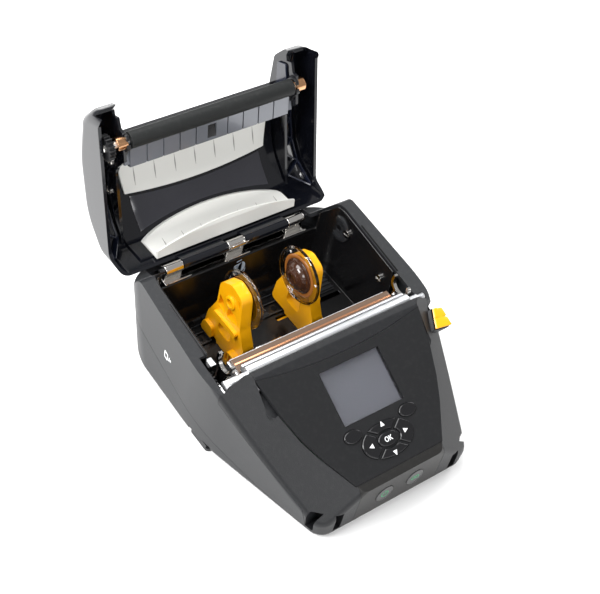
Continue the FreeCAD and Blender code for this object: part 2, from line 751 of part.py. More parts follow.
BATTERY_COVER = [(-34, -76, 4), (34, -76, 4), (34, -18, 4), (-34, -18, 4)]
CLIP_SLOT = [(-100, -14.5, 0), (-40, -14.5, 2), (-40, 4.5, 2), (-100, 4.5, 0)]
WALL_SCREWS = [(52, 52), (18, 46)]
SCREW_PLACES = [(-56, -50), (56, -50), (-60, 58), (60, 58)]


def base_pieces():
    """The battery cover, the belt clip and the screws, all flush with the underside."""
    cover = [(x - math.copysign(GAP, x), y - math.copysign(GAP, y + 47), r) for x, y, r in BATTERY_COVER]
    feature("battery_cover", upright(cover, 0, WALL - 0.1))
    tongue = upright([(-73.4, -14.2, 3), (-40.3, -14.2, 1.8), (-40.3, 4.2, 1.8), (-73.4, 4.2, 3)], 0.3, WALL)
    lip = across([(-12, 2.2, 0), (-12, 4.6, 1), (2, 4.6, 1), (2, 2.2, 0)], -73.4, -71.4)
    feature("belt_clip", tongue.fuse(lip).removeSplitter())
    screws = []
    for x, y in SCREW_PLACES:
        head = Part.makeCylinder(3.0, 1.8, Vector(x, y, 0.4))
        slot = box(x - 2, x + 2, y - 0.4, y + 0.4, 0, 1.0)
        cross = box(x - 0.4, x + 0.4, y - 2, y + 2, 0, 1.0)
        screws.append(head.cut(slot.fuse(cross)).fuse(Part.makeCylinder(1.3, 4.2, Vector(x, y, 2.0))))
    for y, z in WALL_SCREWS:
        head = rod(size("bay_half_width") - 1.6, size("bay_half_width"), y, z, 2.7)
        screws += [head.cut(box(60, 65.2, y - 2, y + 2, z - 0.35, z + 0.35)), mirrored(head)]
    feature("case_screws", Part.makeCompound(screws))


# ---------------------------------------------------------------- media guides

PINION_RADIUS = size("rack_module") * size("pinion_teeth") / 2
ADDENDUM = 0.8 * size("rack_module")
DEDENDUM = 1.1 * size("rack_module")
BACKLASH = 0.12
NECK_Y = (size("pinion_y") - PINION_RADIUS - 3.0, size("pinion_y") + PINION_RADIUS + 3.0)
NECK_X = 27.0
PRESSURE = math.radians(20)


def gear_profile(teeth, module, addendum, dedendum, turn=0.0):
    """An involute gear outline; the first tooth points along the first axis, then turned."""
    pitch = module * teeth / 2
    base = pitch * math.cos(PRESSURE)
    tip, root = pitch + addendum, pitch - dedendum
    half = (math.pi * module / 2 - BACKLASH) / (2 * pitch) + math.tan(PRESSURE) - PRESSURE
    points = []
    for tooth in range(teeth):
        middle = turn + 2 * math.pi * tooth / teeth
        start = max(base, root)
        radii = [start + (tip - start) * i / 6 for i in range(7)]
        flank = []
        for radius in radii:
            slant = math.acos(min(1.0, base / radius))
            flank.append((radius, half - (math.tan(slant) - slant)))
        if root < base:
            flank.insert(0, (root, flank[0][1]))
        points += [(r, middle - a) for r, a in flank] + [(r, middle + a) for r, a in reversed(flank)]
    corners = [(r * math.cos(a), r * math.sin(a), 0) for r, a in points]
    return corners


def rack_profile(direction, span, root_y):
    """A straight rack's outline in X and Y whose teeth point along direction in Y from the pitch line."""
    module = size("rack_module")
    pitch_y = size("pinion_y") - direction * PINION_RADIUS
    low, high = span
    half = (math.pi * module / 2 - BACKLASH) / 2
    lean = math.tan(PRESSURE)
    pitch = math.pi * module
    points = [(low, root_y, 0), (low, pitch_y - direction * DEDENDUM, 0)]
    first = math.ceil((low + 1.5) / pitch - 0.5)
    last = math.floor((high - 1.5) / pitch - 0.5)
    for tooth in range(first, last + 1):
        middle = (tooth + 0.5) * pitch
        foot = half + DEDENDUM * lean
        crest = half - ADDENDUM * lean
        low_y = pitch_y - direction * DEDENDUM
        high_y = pitch_y + direction * ADDENDUM
        points += [(middle - foot, low_y, 0), (middle - crest, high_y, 0),
                   (middle + crest, high_y, 0), (middle + foot, low_y, 0)]
    points += [(high, pitch_y - direction * DEDENDUM, 0), (high, root_y, 0)]
    return points


def centring_pinion():
    """The pinion that makes both guides move together; a tooth points at a gap in each rack."""
    z = size("rack_bottom") + 0.2
    teeth = int(size("pinion_teeth"))
    corners = gear_profile(teeth, size("rack_module"), ADDENDUM, DEDENDUM, math.pi / 2)
    gear = upright(corners, z, z + size("rack_height") - 0.4)
    gear = gear.cut(Part.makeCylinder(1.55, 20, Vector(0, 0, -5)))
    gear.translate(Vector(0, size("pinion_y"), 0))
    feature("centring_pinion", gear)


def guide_arm(label, side):
    """One guide: a plate with a stub for its disc, feet, a neck through the floor and a rack."""
    y, z = size("disc_y"), size("disc_z")
    x0 = size("disc_x") + size("disc_thickness") + 0.3
    floor = size("bay_floor") + 0.3
    step = floor + 2.0
    plate = across([(20.5, floor, 2), (44.5, floor, 0), (45.5, step, 0), (59, step, 3), (57.5, 26, 6),
                    (51.5, 40, 8), (y + 12, z + 8, 6), (y + 2, z + 14, 6), (y - 9, z + 11, 6),
                    (27.5, 38, 8), (21, 26, 6)], x0, x0 + 7.5)
    oval = across([(33, 20, 3.4), (47, 20, 3.4), (45, 31, 3.4), (35, 31, 3.4)], x0 - 1, x0 + 20)
    foot = across([(20.5, floor, 2), (32, floor, 2), (31, 20, 4), (21.5, 20, 4)], x0 + 5, x0 + 12)
    heel = across([(47, step, 2), (59, step, 2), (57, 20, 3), (49, 20, 3)], x0 + 5, x0 + 10)
    rim = across([(27, 31, 2), (52, 31, 2), (50, 35, 2), (29, 35, 2)], x0 + 5, x0 + 10)
    stub = rod(x0 - 3.5, x0 + 1, y, z, 3.0)
    arm = joined([plate.cut(oval), foot, heel, rim, stub])
    rack_low = size("rack_bottom")
    rack_high = rack_low + size("rack_height")
    index, direction, span = (1, -1, (-38.0, 30.5)) if side > 0 else (0, 1, (-30.5, 38.0))
    neck_y = NECK_Y[index]
    root_y = neck_y - direction * 1.0
    rack = upright(rack_profile(direction, span, root_y), rack_low, rack_high)
    if side < 0:
        arm = mirrored(arm)
    neck = box(side * NECK_X - 3, side * NECK_X + 3, neck_y - 1.0, neck_y + 1.0, rack_low, floor + 4)
    feature(label, joined([arm, neck, rack]))


def guide_disc(label, side):
    """A smoky disc that turns on the arm's stub, with a cone that enters the roll's core."""
    y, z = size("disc_y"), size("disc_z")
    x = size("disc_x")
    plate = rod(x, x + size("disc_thickness"), y, z, size("disc_radius"))
    cone = Part.makeCone(6.2, 9.0, 6.0, Vector(x - 6, y, z), Vector(1, 0, 0))
    disc = plate.fuse(cone).cut(rod(x - 2.1, x + 5, y, z, 3.05)).removeSplitter()
    disc = disc.cut(rod(x - 7, x - 3.5, y, z, 4.2))
    feature(label, disc if side > 0 else mirrored(disc))


# ---------------------------------------------------------------- drive gears

IDLER_RADIUS = size("drive_module") * size("idler_teeth") / 2
MOTOR_RADIUS = size("drive_module") * size("motor_teeth") / 2
MOTOR_DROP = math.sqrt((IDLER_RADIUS + MOTOR_RADIUS) ** 2 - (size("idler_y") - size("motor_y")) ** 2)
MOTOR_Z = size("idler_z") - MOTOR_DROP
TOWARDS_MOTOR = math.atan2(-MOTOR_DROP, size("motor_y") - size("idler_y"))


def gear(label, teeth, y, z, bore, turn, placement=None, setback=0.0):
    """A drive gear in the YZ plane; turn is the angle of its first tooth from +Y."""
    module = size("drive_module")
    corners = gear_profile(teeth, module, 0.8 * module, 1.1 * module, turn)
    corners = [(a + y, b + z, 0) for a, b, _ in corners]
    x = size("gear_x")
    wheel = across(corners, x + setback, x + size("gear_width")).cut(rod(x - 1, x + 9, y, z, bore))
    feature(label, wheel, placement)


def drive_gears():
    """Idler and motor pinion in mesh, and the plate that carries them."""
    idler = int(size("idler_teeth"))
    motor = int(size("motor_teeth"))
    gear("idler_gear", idler, size("idler_y"), size("idler_z"), 1.55, TOWARDS_MOTOR)
    gear("motor_pinion", motor, size("motor_y"), MOTOR_Z, 1.05,
         TOWARDS_MOTOR + math.pi + math.pi / motor, setback=1.2)
    x = size("gear_x")
    plate = across([(-30, 22, 4), (4, 22, 4), (4, 32, 0), (-0.6, 36, 2), (-0.6, 48, 3), (-30, 48, 3)],
                   x + size("gear_width") + 0.4, x + size("gear_width") + 1.6)
    plate = plate.fuse(rod(x - 0.4, x + 4.5, size("idler_y"), size("idler_z"), 1.5))
    hole = rod(x + 3, x + 9, size("motor_y"), MOTOR_Z, 2.6)
    feature("gear_plate", plate.cut(hole).removeSplitter())


# ---------------------------------------------------------------- hinge

LEDGE_Z = 42.4
BODY_KNUCKLES = ((-50.0, -38.0), (-6.0, 6.0), (38.0, 50.0))
LID_KNUCKLES = ((-37.6, -6.4), (6.4, 37.6))


def hinge():
    """The hinge pin, the casing's knuckles on their ledge, and nothing that turns."""
    y, z = HINGE.y, HINGE.z
    pin = doc.addObject("Part::Cylinder", "hinge_pin")
    pin.setExpression("Radius", cell("hinge_pin_radius"))
    pin.Height = 106
    doc.recompute()
    keep(pin, "hinge_pin", Placement(Vector(-53, y, z), Rotation(Vector(0, 1, 0), 90)))
    knuckles = []
    bore = size("hinge_pin_radius") + 0.02
    for low, high in BODY_KNUCKLES:
        foot = box(low, high, y - 1.6, y + 1.6, LEDGE_Z, z)
        block = rod(low, high, y, z, size("knuckle_radius")).fuse(foot)
        knuckles.append(block.cut(rod(low - 1, high + 1, y, z, bore)))
    ledge = box(-50.5, 50.5, 72.4, 86.0, LEDGE_Z - 2, LEDGE_Z)
    feature("hinge_bracket", joined([ledge] + knuckles))


# ---------------------------------------------------------------- lid

def lid_profile(inset):
    """Side view of the closed lid, from the front tip over the top to the hinge."""
    corners = [(-22.5, 50, 0), (-22.5, 68, 0), (-16.5, 78.5, 6), (8, 88.0, 60), (46, 90.8, 40), (69.5, 79.5, 14),
               (76.8, 57, 2), (75.2, 53.5, 0), (62, 50, 0)]
    wire = rounded_face(corners, lambda p: Vector(0, p.x, p.y)).OuterWire
    return wire.makeOffset2D(-inset) if inset else wire


def lid_volume(inset, half, fillet):
    """The lid as a full solid between two side planes, its upper edges rounded."""
    face = Part.Face(lid_profile(inset))
    solid = face.extrude(Vector(2 * half, 0, 0))
    solid.translate(Vector(-half, 0, 0))
    if fillet:
        rounded = [e for e in solid.Edges
                   if abs(abs(e.CenterOfMass.x) - half) < 1e-4
                   and (e.CenterOfMass.z > 66 and e.BoundBox.ZMin > 56 or e.CenterOfMass.y < -21)]
        solid = solid.makeFillet(fillet, rounded)
    return solid


CLEARANCE = envelope(-0.5)
LID_INSIDE = 58.6
LID_EDGE_Y = 2.6


def lid_shell():
    """The lid's outer skin, its two forward arms and its hinge knuckles."""
    skin = size("lid_skin")
    half = size("lid_half_width")
    shell = lid_volume(0, half, 7).cut(lid_volume(skin, half - skin, 5.2))
    shell = shell.cut(across([(-60, 0, 0), (-60, 61, 0), (60, 66, 0), (100, 40, 0), (100, 0, 0)],
                             -half + skin, half - skin))
    shell = shell.cut(box(-LID_INSIDE, LID_INSIDE, -60, LID_EDGE_Y, 0, 200))
    lip = box(1.5 - LID_INSIDE, LID_INSIDE - 1.5, LID_EDGE_Y, LID_EDGE_Y + 1.5, 67.2, 100)
    shell = shell.fuse(lip.common(lid_volume(skin - 0.1, half, 0)))
    shell = shell.cut(CLEARANCE)
    webs = []
    for side in (-1, 1):
        web = Part.Face(lid_profile(skin - 0.1)).extrude(Vector(1.8, 0, 0))
        web.translate(Vector(LID_INSIDE if side > 0 else -LID_INSIDE - 1.8, 0, 0))
        web = web.cut(across([(-60, 0, 0), (-60, 66, 0), (-9.6, 61.2, 0), (-7, 56, 0), (8, 57, 4),
                              (18, 72, 10), (66, 77, 0), (100, 77, 0), (100, 0, 0)], -FAR, FAR))
        webs.append(web.cut(CLEARANCE))
    shell = joined([shell] + webs)
    y, z = HINGE.y, HINGE.z
    for low, high in LID_KNUCKLES:
        web = across([(y - 3.0, z, 0), (y - 3.0, 57, 0), (y - 1.4, 57.5, 0), (y + 1.2, z, 0)], low, high)
        knuckle = rod(low, high, y, z, size("knuckle_radius")).fuse(web)
        shell = shell.fuse(knuckle)
    bore = size("hinge_pin_radius") + size("running_gap")
    shell = shell.cut(rod(-60, 60, y, z, bore))
    bushing = size("bushing_radius") + 0.02
    shell = shell.cut(rod(-LID_INSIDE - 3, LID_INSIDE + 3, size("platen_y"), size("platen_z"), bushing))
    feature("lid_shell", largest(shell.removeSplitter()), LID_OPEN)


def lid_band(outer, inner, half, keep_region):
    """A strip that follows the lid's curve between two depths below its skin."""
    band = Part.Face(lid_profile(outer)).cut(Part.Face(lid_profile(inner)))
    solid = band.extrude(Vector(2 * half, 0, 0))
    solid.translate(Vector(-half, 0, 0))
    return solid.common(keep_region)


def arch(edge_y, sagitta, below):
    """A column whose front (or rear) face is an arc in plan, for the curved edge of a pad."""
    radius = (49.0 ** 2 + sagitta ** 2) / (2 * sagitta)
    middle = edge_y - radius if below else edge_y + radius
    return Part.makeCylinder(radius, 120, Vector(0, middle, 0))


def lid_linings():
    """The inner panel and the two pale pads on it, each with one bowed edge."""
    skin = size("lid_skin")
    panel = lid_band(skin + 0.05, skin + 1.4, 57.9, across([(8, 60, 0), (8, 95, 0), (90, 95, 0), (90, 61, 0),
                                                            (66, 61, 0)], -FAR, FAR))
    feature("lid_liner", largest(panel), LID_OPEN)
    upper_region = upright([(-54, 16, 0), (54, 16, 3), (48.5, 48, 3), (-48.5, 48, 3)], 60, 100)
    upper = lid_band(skin + 1.45, skin + 3.0, 55, upper_region.common(arch(44.8, 3.5, True)))
    feature("liner_pad_upper", largest(upper), LID_OPEN)
    lower_region = across([(50, 95, 0), (90, 95, 0), (90, 54.0, 0), (60, 54.0, 0)], -FAR, FAR)
    lower = lid_band(skin + 1.45, skin + 3.0, 49.5, lower_region.common(arch(60.6, 7.0, False)))
    feature("liner_pad_lower", largest(lower), LID_OPEN)


def largest(shape):
    """The biggest solid of a cut's result."""
    return max(shape.Solids, key=lambda s: s.Volume)


def media_guide_bar():
    """The satin bar beside the platen that the web slides over, in separate segments on one back."""
    back = across([(4.2, 61.4, 0), (4.2, 64.4, 1), (15.9, 67.2, 1), (15.9, 63.9, 0)], -55, 55)
    window = box(-3, 3, 5.5, 14, 55, 80)
    places = (-44, -33, -22, -11, 11, 22, 33, 44)
    slits = [across([(3, 60, 0), (3, 62.2, 0), (17, 65.2, 0), (17, 60, 0)], x - 0.4, x + 0.4) for x in places]
    ends = [box(x, x + 3.4, 6, 14, 64.0, 66.4) for x in (-58.2, 54.8)]
    bar = back.cut(window).cut(Part.makeCompound(slits))
    feature("media_guide_bar", joined([bar] + ends), LID_OPEN)
    feature("guide_sensor", box(-2.8, 2.8, 5.8, 13.6, 63.2, 65.4), LID_OPEN)


def lever_plates():
    """Flat steel plates on the inner faces of the arms."""
    plate = across([(-14, 66, 1.5), (-14, 74, 1.5), (14, 80, 2), (24, 76, 2), (10, 66.5, 2)], LID_INSIDE - 1.3,
                   LID_INSIDE - 0.1)
    feature("lever_plates", Part.makeCompound([plate, mirrored(plate)]), LID_OPEN)


def lid_screws():
    """Cross-head screws in the arms and lid sides."""
    screws = []
    for y, z in ((14, 76), (34, 82)):
        x = LID_INSIDE + 1.8
        head = rod(x, x + 1.4, y, z, 2.6)
        slots = box(x + 0.8, x + 2, y - 1.8, y + 1.8, z - 0.35, z + 0.35).fuse(
            box(x + 0.8, x + 2, y - 0.35, y + 0.35, z - 1.8, z + 1.8))
        head = head.cut(slots)
        screws += [head, mirrored(head)]
    feature("lid_screws", Part.makeCompound(screws), LID_OPEN)


def platen():
    """The rubber roller on its steel shaft, with a bushing each side and a gear on the left."""
    y, z = size("platen_y"), size("platen_z")
    half = size("platen_length") / 2
    shaft_radius = size("platen_shaft_radius")
    rubber = new_body("platen_roller")
    section = new_sketch(rubber, "YZ_Plane")
    for alias in ("platen_radius", "platen_shaft_radius"):
        circle = sketch_circle(section, (y, z), size(alias))
        section.setExpression(f"Constraints[{circle}]", cell(alias))
    pad(rubber, section, cell("platen_length"), -half)
    keep(rubber, "platen_roller", LID_OPEN)
    turned = Rotation(Vector(0, 1, 0), 90)
    shaft = doc.addObject("Part::Cylinder", "platen_shaft")
    shaft.setExpression("Radius", cell("platen_shaft_radius"))
    shaft.Height = 65.0 - size("gear_x")
    doc.recompute()
    keep(shaft, "platen_shaft", LID_OPEN.multiply(Placement(Vector(size("gear_x"), y, z), turned)))
    bushings = []
    for x in (58.2, -64.4):
        bushings.append(ring(Vector(x, y, z), Vector(1, 0, 0), size("bushing_radius"),
                             shaft_radius + size("running_gap"), 6.2))
    feature("platen_bushings", Part.makeCompound(bushings), LID_OPEN)
    gear("platen_gear", int(size("platen_teeth")), y, z, shaft_radius, 0.0, LID_OPEN)


# ---------------------------------------------------------------- build

def check_document():
    """Stop if any object failed or any piece has no valid shape."""
    doc.recompute()
    for obj in doc.Objects:
        if "Invalid" in obj.State or "Error" in obj.State:
            raise RuntimeError(f"{obj.Label} failed: {obj.State}")
    for obj in pieces:
        if obj.Shape.isNull() or not obj.Shape.isValid() or not obj.Shape.Solids:
            raise RuntimeError(f"{obj.Label} has no valid shape")


def export_pieces():
    """Write one STEP file for each piece."""
    os.makedirs("parts", exist_ok=True)
    for obj in pieces:
        obj.Shape.exportStep(f"parts/{obj.Label}.step")
        print(f"{obj.Label:20s} {len(obj.Shape.Solids):3d} solids {obj.Shape.Volume:10.1f} mm3")


def main():
    for build in (lower_case, upper_case, bumpers, trim_strip, control_strip, front_panel, keys, strip_buttons,
                  display, release_button, port_cover, tear_bar, media_tray, floor_pads, wall_strip, gap_sensor,
                  printhead, latch_hooks, electronics, base_pieces, centring_pinion):
        build()
        print("built", build.__name__)
    for name, side in (("left", -1), ("right", 1)):
        guide_arm(f"guide_arm_{name}", side)
        guide_disc(f"guide_disc_{name}", side)
    for build in (drive_gears, hinge, lid_shell, lid_linings, media_guide_bar, lever_plates, lid_screws, platen):
        build()
        print("built", build.__name__)
    check_document()
    export_pieces()


main()
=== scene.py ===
# %% [markdown]
# Label maker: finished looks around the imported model.
# The frame gives every part its place; this script rounds the parts' edges, adds the details that the
# solids leave out, gives each surface a material, and sets the camera and the lights.

# %% Load the frame
import json
import math

import bmesh
import bpy
from mathutils import Matrix, Vector
from mathutils.bvhtree import BVHTree

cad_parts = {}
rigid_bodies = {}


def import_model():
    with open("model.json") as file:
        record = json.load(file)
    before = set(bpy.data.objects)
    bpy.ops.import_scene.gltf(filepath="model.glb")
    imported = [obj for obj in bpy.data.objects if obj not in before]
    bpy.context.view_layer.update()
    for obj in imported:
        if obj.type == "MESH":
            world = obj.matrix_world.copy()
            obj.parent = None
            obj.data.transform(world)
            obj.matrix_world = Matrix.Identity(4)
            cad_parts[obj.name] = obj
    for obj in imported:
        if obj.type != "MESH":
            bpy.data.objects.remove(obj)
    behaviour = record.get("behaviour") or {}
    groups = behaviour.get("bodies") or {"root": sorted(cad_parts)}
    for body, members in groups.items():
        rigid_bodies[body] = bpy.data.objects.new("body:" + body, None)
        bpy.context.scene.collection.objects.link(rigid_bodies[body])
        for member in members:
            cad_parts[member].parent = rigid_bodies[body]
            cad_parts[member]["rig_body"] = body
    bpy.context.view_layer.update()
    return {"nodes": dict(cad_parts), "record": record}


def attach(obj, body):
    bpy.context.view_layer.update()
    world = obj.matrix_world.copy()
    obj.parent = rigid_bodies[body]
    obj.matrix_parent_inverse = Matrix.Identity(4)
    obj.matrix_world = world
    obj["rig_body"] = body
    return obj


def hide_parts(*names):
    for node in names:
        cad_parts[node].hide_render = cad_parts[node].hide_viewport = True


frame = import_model()
NODES = frame["nodes"]
SLOT_OF = {part["node"]: part["material_slot"] for part in frame["record"]["subparts"]}
MM = 0.001
print("frame:", len(NODES), "nodes")

# %% [markdown]
# The real lid swings on a pin at the back and the keys sit on a sloping panel. Their details could be drawn
# where they end up, but they are easier to draw with the lid closed and the panel flat, so two matrices
# carry them there. The rest are shared places in millimetres: (y, z) of the platen, discs, bosses and
# screws, (x, z) of the front buttons, the key pad's height on the panel, and how far out three faces lie.

# %% Frames of reference
HINGE = Vector((0, 78, 50)) * MM
OPEN = math.radians(113.2)
LID = Matrix.Translation(HINGE) @ Matrix.Rotation(-OPEN, 4, "X") @ Matrix.Translation(-HINGE)
SLOPE = math.radians(26.0)
PANEL = Matrix.Translation(Vector((0, -60.2, 46.2)) * MM) @ Matrix.Rotation(SLOPE, 4, "X")
PLATEN = (-1.7, 60.35)
DISC = (39.6, 49.2)
ARM_BOSS = (39.6, 50.6)
BOSS = (59.8, 50.2)
FRONT_BUTTONS = (("power", -10.9, 17.6), ("pairing", 11.1, 17.8))
PAD_V = -16.0
ARM_SCREWS = ((14, 76), (34, 82))
SIDES = {-1: "left", 1: "right"}
DISC_FACE, ARM_FACE, BUTTON_FACE = 21.2, 29.0, -93.1
print("hinge at", tuple(HINGE))

# %% [markdown]
# Moulded plastic has a fine grain and rubbed corners, dust settles on faces that look up, and rolled metal
# has lines. Painted textures could show this but need unwrapped surfaces; noise needs none, and small
# groups let all materials share it. They only give values, masks and normals.

# %% Shader groups


def new_group(name, inputs, outputs, kind="ShaderNodeTree"):
    """An empty node group with the named sockets."""
    group = bpy.data.node_groups.new(name, kind)
    for label, sort, default in inputs:
        socket = group.interface.new_socket(name=label, in_out="INPUT", socket_type="NodeSocket" + sort)
        if default is not None:
            socket.default_value = default
    for label, sort in outputs:
        group.interface.new_socket(name=label, in_out="OUTPUT", socket_type="NodeSocket" + sort)
    return group, group.nodes.new("NodeGroupInput"), group.nodes.new("NodeGroupOutput")


def node(tree, kind, values=None, **settings):
    """A node with its input values and its properties set."""
    made = tree.nodes.new(kind)
    for key, setting in settings.items():
        setattr(made, key, setting)
    for label, value in (values or {}).items():
        made.inputs[label].default_value = value
    return made


def wires(tree, *links):
    """Links between nodes, each as (node, output, node, input)."""
    for source, output, target, entry in links:
        tree.links.new(source.outputs[output], target.inputs[entry])


def grain_group():
    """Small bumps, as on moulded plastic or rubber, and a slow change of tone."""
    group, start, end = new_group(
        "Grain", [("Vector", "Vector", None), ("Scale", "Float", 2600.0), ("Strength", "Float", 0.2)],
        [("Normal", "Vector"), ("Tone", "Float")])
    fine = node(group, "ShaderNodeTexNoise", {"Detail": 2.0})
    bump = node(group, "ShaderNodeBump", {"Distance": 0.0001})
    slow = node(group, "ShaderNodeTexNoise", {"Scale": 35.0, "Detail": 3.0})
    wires(group, (start, "Vector", fine, "Vector"), (start, "Scale", fine, "Scale"),
          (start, "Strength", bump, "Strength"), (fine, "Fac", bump, "Height"),
          (start, "Vector", slow, "Vector"), (bump, "Normal", end, "Normal"), (slow, "Fac", end, "Tone"))
    return group


def edge_group():
    """A mask of the sharp edges, broken up by noise."""
    group, start, end = new_group(
        "EdgeWear", [("Vector", "Vector", None), ("Radius", "Float", 0.0006)], [("Mask", "Float")])
    bevel = node(group, "ShaderNodeBevel", samples=4)
    shape = node(group, "ShaderNodeNewGeometry")
    dot = node(group, "ShaderNodeVectorMath", operation="DOT_PRODUCT")
    ramp = node(group, "ShaderNodeMapRange", {"From Min": 0.995, "From Max": 0.80})
    noise = node(group, "ShaderNodeTexNoise", {"Scale": 260.0, "Detail": 4.0})
    times = node(group, "ShaderNodeMath", operation="MULTIPLY")
    wires(group, (start, "Radius", bevel, "Radius"), (bevel, "Normal", dot, 0),
          (shape, "Normal", dot, 1), (dot, "Value", ramp, "Value"), (start, "Vector", noise, "Vector"),
          (ramp, "Result", times, 0), (noise, "Fac", times, 1), (times, "Value", end, "Mask"))
    return group


def dust_group():
    """A faint mask on faces that look up."""
    group, start, end = new_group("Dust", [("Vector", "Vector", None)], [("Mask", "Float")])
    shape = node(group, "ShaderNodeNewGeometry")
    split = node(group, "ShaderNodeSeparateXYZ")
    ramp = node(group, "ShaderNodeMapRange", {"From Min": 0.35})
    noise = node(group, "ShaderNodeTexNoise", {"Scale": 420.0, "Detail": 5.0})
    cut = node(group, "ShaderNodeMapRange", {"From Min": 0.5, "From Max": 0.8})
    times = node(group, "ShaderNodeMath", operation="MULTIPLY")
    wires(group, (shape, "Normal", split, 0), (split, "Z", ramp, "Value"),
          (start, "Vector", noise, "Vector"), (noise, "Fac", cut, "Value"), (ramp, "Result", times, 0),
          (cut, "Result", times, 1), (times, "Value", end, "Mask"))
    return group


def brushed_group():
    """Lines drawn out along X, as a normal and as a change of tone."""
    group, start, end = new_group(
        "Brushed", [("Vector", "Vector", None), ("Strength", "Float", 0.15)],
        [("Normal", "Vector"), ("Tone", "Float")])
    stretch = node(group, "ShaderNodeMapping", {"Scale": (30.0, 2400.0, 2400.0)})
    lines = node(group, "ShaderNodeTexNoise", {"Scale": 1.0, "Detail": 3.0})
    bump = node(group, "ShaderNodeBump", {"Distance": 0.00006})
    wires(group, (start, "Vector", stretch, "Vector"), (stretch, "Vector", lines, "Vector"),
          (lines, "Fac", bump, "Height"), (start, "Strength", bump, "Strength"),
          (bump, "Normal", end, "Normal"), (lines, "Fac", end, "Tone"))
    return group


GRAIN, EDGES, DUST, BRUSHED = grain_group(), edge_group(), dust_group(), brushed_group()
print("shader groups:", [group.name for group in (GRAIN, EDGES, DUST, BRUSHED)])

# %% [markdown]
# The machine is black plastic of several glosses, with yellow guides, smoky discs and bright metal. Each
# look could be a node tree of its own; one function fed by a table keeps them alike and easy to compare.

# %% Materials


def add_group(tree, group, vector, **settings):
    """A group node in a material, with its constants set."""
    made = node(tree, "ShaderNodeGroup", settings, node_tree=group)
    tree.links.new(vector, made.inputs["Vector"])
    return made


def mix_colour(tree, factor, amount, first, second):
    """first and second mixed by factor times amount; first may be a socket or a colour."""
    scale = node(tree, "ShaderNodeMath", {1: amount}, operation="MULTIPLY")
    tree.links.new(factor, scale.inputs[0])
    mix = node(tree, "ShaderNodeMix", data_type="RGBA")
    if isinstance(first, tuple):
        mix.inputs["A"].default_value = (*first, 1)
    else:
        tree.links.new(first, mix.inputs["A"])
    mix.inputs["B"].default_value = (*second, 1)
    tree.links.new(scale.outputs[0], mix.inputs["Factor"])
    return mix.outputs["Result"]


def material(name, colour, roughness, metallic=0.0, grain=(2600.0, 0.15), wear=0.0, dust=0.0, shift=0.15,
             brushed=0.0, coat=0.0, specular=0.5, transmission=0.0, glow=0.0):
    """A finished surface: base colour, fine relief, worn edges and dust."""
    made = bpy.data.materials.new(name)
    made.use_nodes = True
    tree = made.node_tree
    shader = tree.nodes["Principled BSDF"]
    place = tree.nodes.new("ShaderNodeTexCoord").outputs["Object"]
    if brushed:
        relief = add_group(tree, BRUSHED, place, Strength=brushed)
    else:
        relief = add_group(tree, GRAIN, place, Scale=grain[0], Strength=grain[1])
    tree.links.new(relief.outputs["Normal"], shader.inputs["Normal"])
    darker = tuple(part * (1 - shift) for part in colour)
    tone = mix_colour(tree, relief.outputs["Tone"], 1.0, colour, darker)
    if wear:
        worn = add_group(tree, EDGES, place)
        lighter = tuple(min(1.0, part * 2.2 + 0.05) for part in colour)
        tone = mix_colour(tree, worn.outputs["Mask"], wear, tone, lighter)
    if dust:
        settled = add_group(tree, DUST, place)
        tone = mix_colour(tree, settled.outputs["Mask"], dust, tone, (0.42, 0.41, 0.39))
    tree.links.new(tone, shader.inputs["Base Color"])
    for label, setting in (("Roughness", roughness), ("Metallic", metallic), ("Coat Weight", coat),
                           ("Coat Roughness", 0.08), ("Specular IOR Level", specular),
                           ("Transmission Weight", transmission), ("IOR", 1.46)):
        shader.inputs[label].default_value = setting
    # Emission paints a faint glow into the surface; only the green glyph print uses it.
    if glow:
        shader.inputs["Emission Color"].default_value = (*colour, 1)
        shader.inputs["Emission Strength"].default_value = glow
    return made


